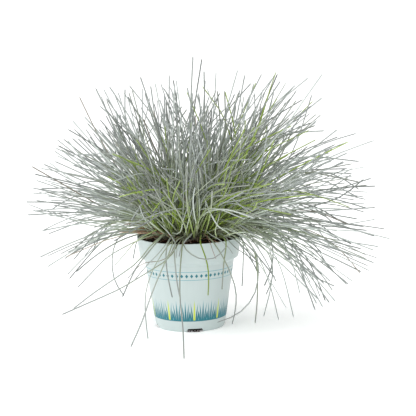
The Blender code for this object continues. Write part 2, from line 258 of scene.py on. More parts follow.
@dataclass(frozen=True)
class FrontView:
    """The photograph's viewing angle, used for the camera and to place what shows at one of its pixels.

    Attributes:
        aim: the place in the middle of the picture.
        distance: from the camera to that place.
        tilt_deg: how far down the camera looks.
        roll_deg: how far it is turned about its line of sight.
        pixel: the size of a pixel at that distance.
        frame_width: the pixels across and down.
        sensor_width: the camera's, in millimetres.
        clip: the nearest and the furthest that the camera sees.
    """

    aim: tuple[float, float, float] = (22.5 * MM, 0.0, 136.3 * MM)
    distance: float = 1.8
    tilt_deg: float = 8.7
    roll_deg: float = 1.0
    pixel: float = 1.147 * MM
    frame_width: int = 416
    sensor_width: float = 36.0
    clip: tuple[float, float] = (0.05, 150.0)

    def axes(self) -> tuple[Vector, Vector, Vector]:
        """The directions to the right, up and ahead in the picture."""
        tilt = math.radians(self.tilt_deg)
        ahead = Vector((0, math.cos(tilt), -math.sin(tilt)))
        turn = Matrix.Rotation(math.radians(self.roll_deg), 3, ahead)
        return turn @ Vector((1, 0, 0)), turn @ Vector((0, math.sin(tilt), math.cos(tilt))), ahead

    def eye(self) -> Vector:
        """Where the camera stands."""
        return Vector(self.aim) - self.axes()[2] * self.distance

    def place(self, across: float, down: float, toward: float) -> Vector:
        """Finds the place that shows at a pixel.

        Args:
            across: pixels from the left edge.
            down: pixels from the top edge.
            toward: millimetres before the pot's axis.

        Returns:
            The place in the row frame.
        """
        right, up, ahead = self.axes()
        middle = self.frame_width / 2
        sideways, upward = right * (across - middle) * self.pixel, up * (middle - down) * self.pixel
        ray = ahead * self.distance + sideways + upward
        return self.eye() + ray * ((-toward * MM - self.eye().y) / ray.y)

    def pixels(self, point: Sequence[float]) -> Vector:
        """Where a point shows in the picture, in pixels across and down."""
        right, up, ahead = self.axes()
        arm = Vector(point) - self.eye()
        scale = self.distance / self.pixel / arm.dot(ahead)
        middle = self.frame_width / 2
        return Vector((middle + arm.dot(right) * scale, middle - arm.dot(up) * scale))

    def make_camera(self) -> None:
        """Adds the camera and makes it the scene's."""
        data = bpy.data.cameras.new("front_camera")
        data.sensor_width = self.sensor_width
        data.lens = self.distance / (self.pixel * self.frame_width) * self.sensor_width
        data.clip_start, data.clip_end = self.clip
        camera = in_scene("front_camera", data)
        right, up, ahead = self.axes()
        turn = Matrix((right, up, -ahead)).transposed().to_4x4()
        camera.matrix_world = Matrix.Translation(self.eye()) @ turn
        bpy.context.scene.camera = camera


VIEW = FrontView()


# The pot


@dataclass(frozen=True)
class PrintedLeaf:
    """One pointed leaf of the border printed round the pot, in millimetres.

    Attributes:
        start: how far beside its sprig's middle it starts.
        lean_deg: how far it leans out from upright.
        length: from its foot to its tip.
        width: across its foot, where it is widest.
        curl: how far its tip bends outwards.
        edge: how far in from its edge the ink is thinner.
    """

    start: float
    lean_deg: float
    length: float
    width: float
    curl: float
    edge: float = 0.18

    def mask(self, tree: Tree, across: Socket, up: Socket) -> Socket:
        """Draws the leaf.

        Args:
            tree: the node tree.
            across: millimetres beside the sprig's middle.
            up: millimetres above the border's foot.

        Returns:
            A value that is 1 inside the leaf and 0 outside it.
        """
        half, lean = self.width / 2, math.radians(self.lean_deg)
        beside = add(tree, "Math", (across, self.start), operation="SUBTRACT")
        spot = add(tree, "CombineXYZ", (beside, up))
        turned = add(tree, "VectorRotate", {"Vector": spot, "Angle": lean}, rotation_type="Z_AXIS")
        parts = add(tree, "SeparateXYZ", (turned,)).node.outputs
        share = add(tree, "MapRange", {"Value": parts["Y"], "From Max": self.length})
        square = add(tree, "Math", (share, share), operation="MULTIPLY")
        half_width = add(tree, "Math", (square, -half, half), operation="MULTIPLY_ADD")
        bent = add(tree, "Math", (square, -self.curl, parts["X"]), operation="MULTIPLY_ADD")
        off = add(tree, "Math", (bent,), operation="ABSOLUTE")
        inside = add(tree, "Math", (half_width, off), operation="SUBTRACT")
        return add(tree, "MapRange", {"Value": inside, "From Max": self.edge})


@dataclass(frozen=True)
class PrintedBorder:
    """A stock border of sprigs, offset-printed in teal, with a row of lozenges between two rules above it.

    Ink on polypropylene lies flat, so it changes the colour and shines a little less, and nothing more. Sizes
    are in millimetres, and the patterns repeat evenly round the pot.

    Attributes:
        foot: how far above the base the border starts.
        radius: the pot's radius there.
        sprigs: how many go round the pot.
        lime_every: how many sprigs there are to one with a lime leaf in its middle.
        fade_height: how far up the inks reach their palest.
        front_inks: the front leaves' colours from the foot up.
        back_inks: those of the leaves behind them.
        dark_ink: the colour of the ground line and the lozenges.
        rule_ink: the colour of the two rules.
        lime: the lime leaves' colour.
        foot_line: the width of the ground line.
        lozenges: how many go round the pot.
        lozenge_radius: the pot's radius there.
        lozenge_middle: how far above the base their middles are.
        lozenge_half: half their width and half their height.
        lozenge_edge: the share of their size up to which the ink is full.
        rules: how far above the base the rules run.
        rule_width: how wide they are.
        middle_leaf: the upright leaf in the middle of a sprig.
        side_leaves: those on either side of it.
        back_leaves: those that stand behind, between two sprigs.
    """

    foot: float = 12.8
    radius: float = 43.0
    sprigs: int = 27
    lime_every: int = 3
    fade_height: float = 26.0
    front_inks: Stops = ((0.0, "#20727F"), (0.4, "#20727F"), (1.0, "#93BAC3"))
    back_inks: Stops = ((0.0, "#5FA0AD"), (0.8, "#B4D0D5"))
    dark_ink: str = "#20727F"
    rule_ink: str = "#5FA0AD"
    lime: str = "#C3D343"
    foot_line: float = 1.3
    lozenges: int = 56
    lozenge_radius: float = 49.5
    lozenge_middle: float = 66.5
    lozenge_half: tuple[float, float] = (1.9, 2.5)
    lozenge_edge: float = 0.85
    rules: tuple[float, float] = (61.8, 71.2)
    rule_width: float = 0.6
    middle_leaf: PrintedLeaf = PrintedLeaf(0.0, 0.0, 26.0, 2.5, 0.0)
    side_leaves: tuple[PrintedLeaf, ...] = (
        PrintedLeaf(2.0, 3.0, 23.5, 2.0, 1.2),
        PrintedLeaf(3.6, 5.0, 19.0, 2.0, 1.8),
    )
    back_leaves: tuple[PrintedLeaf, ...] = (PrintedLeaf(0.0, 0.0, 15.0, 2.6, 0.0),)

    def cell(
        self, tree: Tree, turn: Socket, repeats: int, radius: float, shift: float = 0.0
    ) -> tuple[Socket, Socket]:
        """Splits the way round the pot into equal cells.

        Args:
            tree: the node tree.
            turn: the share of a full turn.
            repeats: how many cells there are.
            radius: the pot's radius there, in millimetres.
            shift: how many cells the row is moved on.

        Returns:
            The cell's number, and the millimetres beside its middle.
        """
        pitch = math.tau * radius / repeats
        passed = add(tree, "Math", (turn, repeats, repeats + shift), operation="MULTIPLY_ADD")
        number = add(tree, "Math", (passed,), operation="FLOOR")
        part = add(tree, "Math", (passed,), operation="FRACT")
        beside = add(tree, "Math", (part, pitch, -pitch / 2), operation="MULTIPLY_ADD")
        return number, add(tree, "Math", (beside,), operation="ABSOLUTE")

    def row(self, tree: Tree, beside: Socket, up: Socket, leaves: Sequence[PrintedLeaf]) -> Socket:
        """The masks of a sprig's leaves as one.

        Args:
            tree: the node tree.
            beside: millimetres beside the sprig's middle, on either side.
            up: millimetres above the border's foot.
            leaves: the leaves of one side.

        Returns:
            A value that is 1 inside any of them, above the border's foot.
        """
        joined = leaves[0].mask(tree, beside, up)
        for leaf in leaves[1:]:
            joined = add(tree, "Math", (joined, leaf.mask(tree, beside, up)), operation="MAXIMUM")
        above = add(tree, "Math", (up, 0.0), operation="GREATER_THAN")
        return add(tree, "Math", (joined, above), operation="MULTIPLY")

    def lozenge(self, tree: Tree, beside: Socket, height: Socket) -> Socket:
        """The mask of the lozenge in the middle of a cell.

        Args:
            tree: the node tree.
            beside: millimetres beside the cell's middle, on either side.
            height: millimetres above the pot's base.

        Returns:
            A value that is 1 inside the lozenge.
        """
        half_width, half_height = self.lozenge_half
        level = add(tree, "Math", (height, self.lozenge_middle), operation="SUBTRACT")
        rise = add(tree, "Math", (level,), operation="ABSOLUTE")
        part = add(tree, "Math", (rise, 1 / half_height), operation="MULTIPLY")
        total = add(tree, "Math", (beside, 1 / half_width, part), operation="MULTIPLY_ADD")
        return add(tree, "MapRange", {"Value": total, "From Min": 1.0, "From Max": self.lozenge_edge})

    def paint(self, tree: Tree, ground: Colour, turn: Socket, height: Socket) -> tuple[Socket, Socket]:
        """Prints the patterns over the plastic's colour.

        Args:
            tree: the node tree.
            ground: the plastic's own colour.
            turn: the share of a full turn round the pot.
            height: millimetres above the base.

        Returns:
            The printed colour, and how much ink there is from 0 to 1.
        """
        up = add(tree, "Math", (height, self.foot), operation="SUBTRACT")
        fade = add(tree, "MapRange", {"Value": up, "From Max": self.fade_height})
        front_ink = set_ramp(add(tree, "ValToRGB", (fade,)), self.front_inks)
        back_ink = set_ramp(add(tree, "ValToRGB", (fade,)), self.back_inks)
        number, beside = self.cell(tree, turn, self.sprigs, self.radius)
        _, back_beside = self.cell(tree, turn, self.sprigs, self.radius, 0.5)
        _, lozenge_beside = self.cell(tree, turn, self.lozenges, self.lozenge_radius)
        count = add(tree, "Math", (number, self.lime_every), operation="MODULO")
        is_lime = add(tree, "Math", (count, 0.5), operation="LESS_THAN")
        inks = {0: is_lime, MIX_FIRST: front_ink, MIX_SECOND: linear(self.lime)}
        layers = [
            (self.row(tree, back_beside, up, self.back_leaves), back_ink),
            (self.row(tree, beside, up, self.side_leaves), front_ink),
            (
                self.row(tree, beside, up, (self.middle_leaf,)),
                add(tree, "Mix", inks, MIX_RESULT, data_type="RGBA"),
            ),
            (self.lozenge(tree, lozenge_beside, height), linear(self.dark_ink)),
        ]
        bands = [(up, self.foot_line / 2, self.foot_line / 2, self.dark_ink)]
        bands += [(height, rule, self.rule_width / 2, self.rule_ink) for rule in self.rules]
        for value, middle, half, ink in bands:
            layers.append((add(tree, "Math", (value, middle, half), operation="COMPARE"), linear(ink)))
        colour, covered = ground, 0.0
        for mask, ink in layers:
            inks = {0: mask, MIX_FIRST: colour, MIX_SECOND: ink}
            colour = add(tree, "Mix", inks, MIX_RESULT, data_type="RGBA")
            covered = add(tree, "Math", (covered, mask), operation="MAXIMUM")
        return colour, covered


@dataclass(frozen=True)
class MouldedPolypropylene:
    """Pale mint polypropylene, injection-moulded against a fine-sparked steel mould.

    The eye sees a soft, wide highlight broken up by a very fine grain, faint upright flow lines, and a slight
    depth where light gets into the thin wall.
    """

    colour: str = "#BDC9C8"
    border: PrintedBorder = PrintedBorder()
    roughness: float = 0.36
    ink_roughness: float = 0.44
    ior: float = 1.49
    glow: float = 0.12
    glow_radius: tuple[float, float, float] = (1.6 * MM, 1.8 * MM, 1.8 * MM)
    # The mould's real grain is near 0.05 mm. It is drawn at 0.6 mm so that it shows at all.
    grain: float = 0.6 * MM
    grain_depth: float = 0.02 * MM
    grain_strength: float = 0.35
    # Flow lines run up the wall: 9 mm apart round the pot and ten times as long.
    flow: float = 9 * MM
    flow_stretch: float = 0.1
    flow_shades: tuple[float, float] = (0.975, 1.02)
    flow_gloss: float = 0.08

    def make(self) -> bpy.types.Material:
        """Builds the material."""
        material, tree, shader = new_material("moulded_mint_polypropylene")
        place = add(tree, "TexCoord", out="Object")
        parts = add(tree, "SeparateXYZ", (place,)).node.outputs
        back = add(tree, "Math", (parts["Y"], -1.0), operation="MULTIPLY")
        angle = add(tree, "Math", (parts["X"], back), operation="ARCTAN2")
        turn = add(tree, "Math", (angle, 1 / math.tau), operation="MULTIPLY")
        height = add(tree, "Math", (parts["Z"], 1 / MM), operation="MULTIPLY")
        colour, ink = self.border.paint(tree, linear(self.colour), turn, height)
        stretched = add(tree, "VectorMath", (place, (1, 1, self.flow_stretch)), operation="MULTIPLY")
        flow = add(tree, "TexNoise", {"Vector": stretched, "Scale": 1 / self.flow, "Detail": 2.0})
        low, high = self.flow_shades
        shade = add(tree, "MapRange", {"Value": flow, "To Min": low, "To Max": high})
        low, high = self.roughness, self.ink_roughness
        gloss = add(tree, "MapRange", {"Value": ink, "To Min": low, "To Max": high})
        grain = add(tree, "TexNoise", {"Vector": place, "Scale": 1 / self.grain, "Detail": 3.0})
        relief = {"Strength": self.grain_strength, "Distance": self.grain_depth, "Height": grain}
        feed(shader, {
            "Base Color": add(tree, "VectorMath", {0: colour, "Scale": shade}, operation="SCALE"),
            "Roughness": add(tree, "Math", (flow, self.flow_gloss, gloss), operation="MULTIPLY_ADD"),
            "Normal": add(tree, "Bump", relief),
            "IOR": self.ior,
            "Subsurface Weight": self.glow,
            "Subsurface Radius": self.glow_radius,
            "Subsurface Scale": 1.0,
        })
        return material


@dataclass
class NurseryPot:
    """A 12 cm nursery pot: thin lip, collar, sloped shoulder, tapered body and four slots in its foot.

    Attributes:
        height: from the base to the lip.
        rim_radius: outside, at the lip.
        collar_foot: radius and height of the outside where the collar ends.
        shoulder_foot: the same where the shoulder ends.
        body_foot: the same where the chamfer at the foot starts.
        base_radius: outside, on the ground.
        wall: how thick the wall is.
        floor: how thick the floor is.
        steps: corners of a ring.
        arc_steps: faces of a rounded corner.
        lip_round: rounding of the lip.
        edge_round: rounding of the other corners.
        slots: how many slots there are.
        first_slot_deg: which way the first one looks, from +X.
        slot_foot_width: a slot's width at its foot.
        slot_top_width: its width at its top.
        slot_height: its height.
        slot_radii: from where to where it is cut, from the axis.
        slot_edge: rounding of its edges.
        edge_deg: the least angle of an edge that is rounded so.
        sharp_deg: the least angle of an edge that is shaded sharp.
    """

    height: float = 105 * MM
    rim_radius: float = 60 * MM
    collar_foot: tuple[float, float] = (56.8 * MM, 82 * MM)
    shoulder_foot: tuple[float, float] = (51.7 * MM, 78 * MM)
    body_foot: tuple[float, float] = (40.2 * MM, 3 * MM)
    base_radius: float = 38.5 * MM
    wall: float = 1.2 * MM
    floor: float = 1.5 * MM
    steps: int = 192
    arc_steps: int = 4
    lip_round: float = 0.5 * MM
    edge_round: float = 1.2 * MM
    slots: int = 4
    first_slot_deg: float = -82.0
    slot_foot_width: float = 20 * MM
    slot_top_width: float = 16 * MM
    slot_height: float = 4 * MM
    slot_radii: tuple[float, float] = (30 * MM, 46 * MM)
    slot_edge: float = 0.3 * MM
    edge_deg: float = 50.0
    sharp_deg: float = 38.0

    def outer_radius(self, height: float | np.ndarray) -> float | np.ndarray:
        """The outside's radius at a height."""
        corners = ((self.base_radius, 0), self.body_foot, self.shoulder_foot, self.collar_foot)
        radii, heights = zip(*corners, (self.rim_radius, self.height))
        return np.interp(height, heights, radii)

    def inner_radius(self, height: float | np.ndarray) -> float | np.ndarray:
        """The inside's radius at a height."""
        return self.outer_radius(height) - self.wall

    def rounded(self, corners: Sequence[tuple[float, float, float]]) -> list[tuple[float, float]]:
        """Rounds the corners of a profile.

        Args:
            corners: radius, height and rounding of each corner.

        Returns:
            The radius and height of each point of the rounded profile.
        """
        points = [corners[0][:2]]
        for before, here, after in zip(corners, corners[1:], corners[2:]):
            corner, size = Vector(here[:2]), here[2]
            if not size:
                points.append(tuple(corner))
                continue
            back, on = ((Vector(end[:2]) - corner).normalized() for end in (before, after))
            reach = size / math.tan(back.angle(on) / 2)
            for step in range(self.arc_steps + 1):
                share = step / self.arc_steps
                first, second = (1 - share) ** 2 * reach, share**2 * reach
                points.append(tuple(corner + back * first + on * second))
        return [*points, corners[-1][:2]]

    def profile(self) -> list[tuple[float, float]]:
        """Up the inside from the floor's middle, over the lip, and down the outside to the base's middle."""
        collar_radius, collar_height = self.collar_foot
        shoulder_radius, shoulder_height = self.shoulder_foot
        return self.rounded((
            (0, self.floor, 0),
            (float(self.inner_radius(self.floor)), self.floor, self.edge_round),
            (shoulder_radius - self.wall, shoulder_height, self.edge_round),
            (collar_radius - self.wall, collar_height, self.edge_round),
            (self.rim_radius - self.wall, self.height, self.lip_round),
            (self.rim_radius, self.height, self.lip_round),
            (collar_radius, collar_height, self.edge_round / 2),
            (shoulder_radius, shoulder_height, self.edge_round),
            (*self.body_foot, self.edge_round / 2),
            (self.base_radius, 0, self.edge_round / 4),
            (0, 0, 0),
        ))

    def turned(self, finish: bpy.types.Material) -> bpy.types.Object:
        """The profile turned about the pot's axis."""
        profile = self.profile()
        points = [(0, 0, profile[0][1])]
        turns = [math.tau * step / self.steps for step in range(self.steps)]
        for radius, height in profile[1:-1]:
            points += [(radius * math.cos(turn), radius * math.sin(turn), height) for turn in turns]
        points.append((0, 0, profile[-1][1]))
        return mesh_object("nursery_pot", points, ring_faces(len(profile) - 2, self.steps), finish)

    def slot_cutter(self, turn: float, finish: bpy.types.Material) -> bpy.types.Object:
        """A wedge through the wall and the edge of the floor, wider at its foot."""
        shape = bmesh.new()
        bmesh.ops.create_cube(shape, size=1)
        for vert in shape.verts:
            top = vert.co.z > 0
            width = self.slot_top_width if top else 2 * self.slot_foot_width - self.slot_top_width
            height = self.slot_height if top else -self.slot_height
            vert.co = (self.slot_radii[vert.co.x > 0], math.copysign(width / 2, vert.co.y), height)
        bmesh.ops.rotate(shape, verts=shape.verts, matrix=Matrix.Rotation(turn, 3, "Z"))
        mesh = bpy.data.meshes.new("slot_cutter")
        shape.to_mesh(mesh)
        shape.free()
        mesh.materials.append(finish)
        return in_scene("slot_cutter", mesh)

    def build(self) -> bpy.types.Object:
        """Makes the finished pot in place of its CAD node."""
        finish = MouldedPolypropylene().make()
        pot = self.turned(finish)
        cutters = []
        for slot in range(self.slots):
            turn = math.radians(self.first_slot_deg) + slot * math.tau / self.slots
            cutters.append(self.slot_cutter(turn, finish))
            cut = pot.modifiers.new("slot", "BOOLEAN")
            cut.operation, cut.solver, cut.object = "DIFFERENCE", "EXACT", cutters[-1]
        bevel = pot.modifiers.new("slot_edges", "BEVEL")
        bevel.limit_method, bevel.angle_limit = "ANGLE", math.radians(self.edge_deg)
        bevel.width, bevel.segments = self.slot_edge, 2
        bake_modifiers(pot)
        for cutter in cutters:
            bpy.data.objects.remove(cutter)
        pot.data.set_sharp_from_angle(angle=math.radians(self.sharp_deg))
        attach(pot, "root")
        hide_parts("pot")
        return pot


def bake_modifiers(piece: bpy.types.Object) -> None:
    """Turns what a piece's modifiers make into its own mesh."""
    shown = piece.evaluated_get(bpy.context.evaluated_depsgraph_get())
    mesh = bpy.data.meshes.new_from_object(shown)
    piece.modifiers.clear()
    piece.data = mesh


POT = NurseryPot()


# The soil


@dataclass(frozen=True)
class PeatBarkMix:
    """Moist peat with composted bark, loosely filled by hand.

    The eye sees a nearly black, dull mass with no shine of its own, in which the bark's broken faces and
    the dry fibres stand out reddish brown.
    """

    peat: Stops = ((0.25, "#120C08"), (0.55, "#261A12"), (0.85, "#3B2A1D"))
    bark: Stops = ((0.2, "#3A2114"), (0.6, "#6E4429"), (0.95, "#94653F"))
    roughness: float = 0.92
    ior: float = 1.35
    # Peat crumbs are 1 to 2 mm across, and the bark's fibres 0.4 mm.
    crumb: float = 1.6 * MM
    fibre: float = 0.4 * MM
    relief: float = 0.3 * MM
    relief_strength: float = 0.8
    # How much a corner's own tone counts, beside the crumbs, and what brings both back to the ramps' middle.
    tone_share: float = 0.5
    tone_middle: float = 0.25

    def make(self) -> bpy.types.Material:
        """Builds the material. The mesh says how barky and how light each corner is."""
        material, tree, shader = new_material("moist_peat_bark_mix")
        place = add(tree, "TexCoord", out="Object")
        crumbs = add(tree, "TexNoise", {"Vector": place, "Scale": 1 / self.crumb, "Detail": 5.0})
        fibres = add(tree, "TexNoise", {"Vector": place, "Scale": 1 / self.fibre, "Detail": 2.0})
        barky, tone = (add(tree, "Attribute", out="Fac", attribute_name=key) for key in ("barky", "tone"))
        toned = add(tree, "Math", (tone, self.tone_share, crumbs), operation="MULTIPLY_ADD")
        lit = add(tree, "Math", (toned, self.tone_middle), operation="SUBTRACT")
        peat, bark = (set_ramp(add(tree, "ValToRGB", (lit,)), stops) for stops in (self.peat, self.bark))
        colours = {0: barky, MIX_FIRST: peat, MIX_SECOND: bark}
        rough = add(tree, "Math", (crumbs, fibres), operation="ADD")
        relief = {"Strength": self.relief_strength, "Distance": self.relief, "Height": rough}
        feed(shader, {
            "Base Color": add(tree, "Mix", colours, MIX_RESULT, data_type="RGBA"),
            "Normal": add(tree, "Bump", relief),
            "Roughness": self.roughness,
            "IOR": self.ior,
        })
        return material


@dataclass
class PottingSoil:
    """The soil that fills the pot, with a low crown, and the crumbs, bark and fibres that lie on it.

    Attributes:
        gap: between the soil and the pot.
        edge_level: how high the surface is at the pot's wall.
        crown_level: how high it is in the middle.
        crown_edge_radius: how far from the axis it starts to fall.
        sink: how far its lumps are let into it.
        margin: how far from the wall the bits on it stay.
        rings: rings of corners of the surface.
        steps: corners of a ring.
        side_levels: heights of the rings between the shoulder and the slots.
        lump: how high a lump is.
        lump_size: how wide it is.
        grit: how high a grain is.
        grit_size: how wide it is.
        crumbs: how many peat crumbs there are.
        crumb_radii: the smallest and the largest.
        crumb_power: how much more often the small ones come.
        crumb_squash: the least and the most that a crumb is stretched along each axis.
        crumb_lift: how far its middle is above the surface, as a share of its size.
        crumb_dents: how far in and out its corners are moved, as shares.
        crumb_bark: how barky the barkiest crumb is.
        chips: how many bark chips there are.
        chip_lengths: the shortest and the longest.
        chip_widths: half the least and the greatest width of a chip, as a share of its length.
        chip_heights: the same for its thickness.
        chip_tilt: how far it is tipped from level, in radians.
        chip_inset: how much nearer to the axis chips lie than crumbs do, as a share.
        chip_lift: how high its middle lies, as a share of half its thickness.
        chip_skew: how far in and out its corners are moved, as shares.
        chip_bark: how barky the chips are, at least and at most.
        fibres: how many fibres there are.
        fibre_lengths: the shortest and the longest.
        fibre_radius: half a fibre's width.
        fibre_places: how many places it is drawn through.
        least_places: a fibre with no more places than this inside the pot is left out.
        fibre_inset: how much nearer to the axis fibres start than crumbs lie, as a share.
        fibre_margin: how far from the wall they are cut off.
        fibre_lift: how far above the surface they lie.
        fibre_rise: how high its middle may stand.
        fibre_bow: how far it bends sideways, as a share of its length.
        fibre_bark: how barky the fibres are, at least and at most.
        fibre_tones: the darkest and the lightest.
        open_tone: how light the soil's surface is, from 0 to 1.
        buried_shade_tone: how light it is below, where it shows in the slots: darker as painted shade inside
            the pot's foot, and for being wet.
        slot_bulge: how far it swells out into the slots.
        bulge_waves: how uneven that is: a middle, a swing, and the waves in a radian.
        spilt: how many crumbs have come out of the front slot.
        spilt_radii: the smallest and the largest.
        spilt_reach: how near and how far from the axis they lie.
        spilt_turn: their mean place beside the slot's middle and their spread, as shares of half its width.
        spilt_lift: how high they lie, as shares of their size.
        spilt_dents: how far in their corners are moved, as shares.
        spilt_bark: how barky the barkiest of them is.
        spilt_tones: the darkest and the lightest.
        sharp_deg: the least angle of an edge that is shaded sharp.
        seed: starts the random numbers.
        points: the corners of the mesh so far.
        faces: its faces.
        barky: how barky each corner is, from 0 to 1.
        tones: how light each corner is, from 0 to 1.
    """

    gap: float = 0.3 * MM
    edge_level: float = 100.5 * MM
    crown_level: float = 103.5 * MM
    crown_edge_radius: float = 39 * MM
    sink: float = 0.3 * MM
    margin: float = 1.2 * MM
    rings: int = 34
    steps: int = 150
    side_levels: tuple[float, float] = (40 * MM, 8 * MM)
    lump: float = 1.1 * MM
    lump_size: float = 7 * MM
    grit: float = 0.5 * MM
    grit_size: float = 2.2 * MM
    crumbs: int = 1100
    crumb_radii: tuple[float, float] = (0.35 * MM, 1.5 * MM)
    crumb_power: float = 2.2
    crumb_squash: tuple[tuple[float, float], ...] = ((0.7, 1.2), (0.7, 1.2), (0.5, 0.9))
    crumb_lift: tuple[float, float] = (-0.2, 0.6)
    crumb_dents: tuple[float, float] = (0.8, 1.2)
    crumb_bark: float = 0.6
    chips: int = 170
    chip_lengths: tuple[float, float] = (2.5 * MM, 7.5 * MM)
    chip_widths: tuple[float, float] = (0.1, 0.22)
    chip_heights: tuple[float, float] = (0.05, 0.1)
    chip_tilt: float = 0.3
    chip_inset: float = 0.98
    chip_lift: float = 0.7
    chip_skew: tuple[float, float] = (0.7, 1.1)
    chip_bark: tuple[float, float] = (0.5, 1.0)
    fibres: int = 90
    fibre_lengths: tuple[float, float] = (7 * MM, 20 * MM)
    fibre_radius: float = 0.22 * MM
    fibre_places: int = 6
    least_places: int = 3
    fibre_inset: float = 0.9
    fibre_margin: float = 1 * MM
    fibre_lift: float = 0.4 * MM
    fibre_rise: float = 4 * MM
    fibre_bow: float = 0.25
    fibre_bark: tuple[float, float] = (0.6, 1.0)
    fibre_tones: tuple[float, float] = (0.5, 1.0)
    open_tone: float = 0.35
    buried_shade_tone: float = 0.0
    slot_bulge: float = 1.2 * MM
    bulge_waves: tuple[float, float, float] = (0.8, 0.4, 57)
    spilt: int = 34
    spilt_radii: tuple[float, float] = (0.35 * MM, 0.95 * MM)
    spilt_reach: tuple[float, float] = (36.5 * MM, 41 * MM)
    spilt_turn: tuple[float, float] = (-0.15, 0.5)
    spilt_lift: tuple[float, float] = (1.0, 1.5)
    spilt_dents: tuple[float, float] = (0.75, 1.0)
    spilt_bark: float = 0.4
    spilt_tones: tuple[float, float] = (0.0, 0.4)
    sharp_deg: float = 50.0
    seed: int = 11
    points: list[Vector] = field(default_factory=list)
    faces: list[Face] = field(default_factory=list)
    barky: list[float] = field(default_factory=list)
    tones: list[float] = field(default_factory=list)

    def level(self, radius: float | np.ndarray) -> float | np.ndarray:
        """The CAD soil's surface at a distance from the axis."""
        edge = self.edge_radius()
        return np.interp(radius, (self.crown_edge_radius, edge), (self.crown_level, self.edge_level))

    def edge_radius(self) -> float:
        """Where the surface meets the pot."""
        return float(POT.inner_radius(self.edge_level)) - self.gap

    def surface(self, x: float, y: float) -> float:
        """The lumpy surface's height."""
        lumps = noise.noise(Vector((x, y, 0)) / self.lump_size) * self.lump
        grit = noise.noise(Vector((x, y, 1)) / self.grit_size) * self.grit
        return float(self.level(math.hypot(x, y))) + lumps + grit - self.sink

    def take(
        self, points: Sequence[Vector], faces: Sequence[Sequence[int]], barky: float, tone: float
    ) -> None:
        """Adds a closed bit to the mesh.

        Args:
            points: its corners.
            faces: its faces, counted from its first corner.
            barky: how barky it is, from 0 to 1.
            tone: how light it is, from 0 to 1.
        """
        first = len(self.points)
        self.points += points
        self.faces += [tuple(first + corner for corner in face) for face in faces]
        self.barky += [barky] * len(points)
        self.tones += [tone] * len(points)

    def body(self) -> None:
        """The mass of soil: its lumpy top, its side along the pot's wall, and its foot."""
        turns = [math.tau * step / self.steps for step in range(self.steps)]
        edge = self.edge_radius()
        points = [Vector((0, 0, self.surface(0, 0)))]
        for ring in range(1, self.rings + 1):
            radius = edge * ring / self.rings
            for turn in turns:
                x, y = radius * math.cos(turn), radius * math.sin(turn)
                points.append(Vector((x, y, self.surface(x, y))))
        foot, slot_top = POT.floor + self.gap, POT.slot_height
        side = [POT.collar_foot[1], POT.shoulder_foot[1] + self.gap]
        side += [*self.side_levels, slot_top, slot_top / 2, foot]
        for height in side:
            for turn in turns:
                radius = float(POT.inner_radius(height)) - self.gap
                if height <= slot_top / 2:
                    radius += self.bulge(turn)
                points.append(Vector((radius * math.cos(turn), radius * math.sin(turn), height)))
        points.append(Vector((0, 0, foot)))
        self.take(points, ring_faces(self.rings + len(side), self.steps), 0.0, self.open_tone)
        # The side and the foot take the darker tone: painted shade inside the pot, where they show in the
        # slots.
        buried = len(side) * self.steps + 1
        self.tones[-buried:] = [self.buried_shade_tone] * buried

    def bulge(self, turn: float) -> float:
        """How far the soil swells out into the slots at its foot."""
        first = math.radians(POT.first_slot_deg)
        nearest = (turn - first + math.pi / POT.slots) % (math.tau / POT.slots) - math.pi / POT.slots
        share = abs(nearest) * POT.body_foot[0] / (POT.slot_top_width / 2)
        middle, swing, waves = self.bulge_waves
        return self.slot_bulge * max(0.0, 1 - share**2) * (middle + swing * math.sin(turn * waves))

    def spot(self, draws: random.Random) -> Vector:
        """A random place on the surface."""
        radius = (self.edge_radius() - self.margin) * math.sqrt(draws.random())
        turn = draws.uniform(0, math.tau)
        x, y = radius * math.cos(turn), radius * math.sin(turn)
        return Vector((x, y, self.surface(x, y)))

    def crumb_shape(self) -> tuple[list[Vector], list[list[int]]]:
        """The corners and faces of a ball of radius 1."""
        shape = bmesh.new()
        bmesh.ops.create_icosphere(shape, subdivisions=1, radius=1)
        points = [vert.co.copy() for vert in shape.verts]
        faces = [[vert.index for vert in face.verts] for face in shape.faces]
        shape.free()
        return points, faces

    def scatter_crumbs(self, draws: random.Random) -> None:
        """Peat crumbs: small uneven balls, let a little way into the surface."""
        corners, faces = self.crumb_shape()
        least, most = self.crumb_radii
        for _ in range(self.crumbs):
            size = least + (most - least) * draws.random() ** self.crumb_power
            middle = self.spot(draws) + UP * size * draws.uniform(*self.crumb_lift)
            squash = Vector([draws.uniform(*limits) for limits in self.crumb_squash])
            turn = Matrix.Rotation(draws.uniform(0, math.tau), 3, "Z")
            points = [
                middle + turn @ (corner * squash * size * draws.uniform(*self.crumb_dents))
                for corner in corners
            ]
            self.take(points, faces, self.crumb_bark * draws.random() ** 3, draws.random())

    def spill(self, draws: random.Random) -> None:
        """Crumbs that came out of the front slot and lie at the pot's foot, most of them left of its middle."""
        corners, faces = self.crumb_shape()
        reach = POT.slot_top_width / 2 / POT.base_radius
        for _ in range(self.spilt):
            size = draws.uniform(*self.spilt_radii)
            turn = math.radians(POT.first_slot_deg) + draws.gauss(*self.spilt_turn) * reach
            radius = draws.uniform(*self.spilt_reach)
            height = size * draws.uniform(*self.spilt_lift)
            place = Vector((radius * math.cos(turn), radius * math.sin(turn), height))
            points = [place + corner * size * draws.uniform(*self.spilt_dents) for corner in corners]
            self.take(points, faces, self.spilt_bark * draws.random(), draws.uniform(*self.spilt_tones))

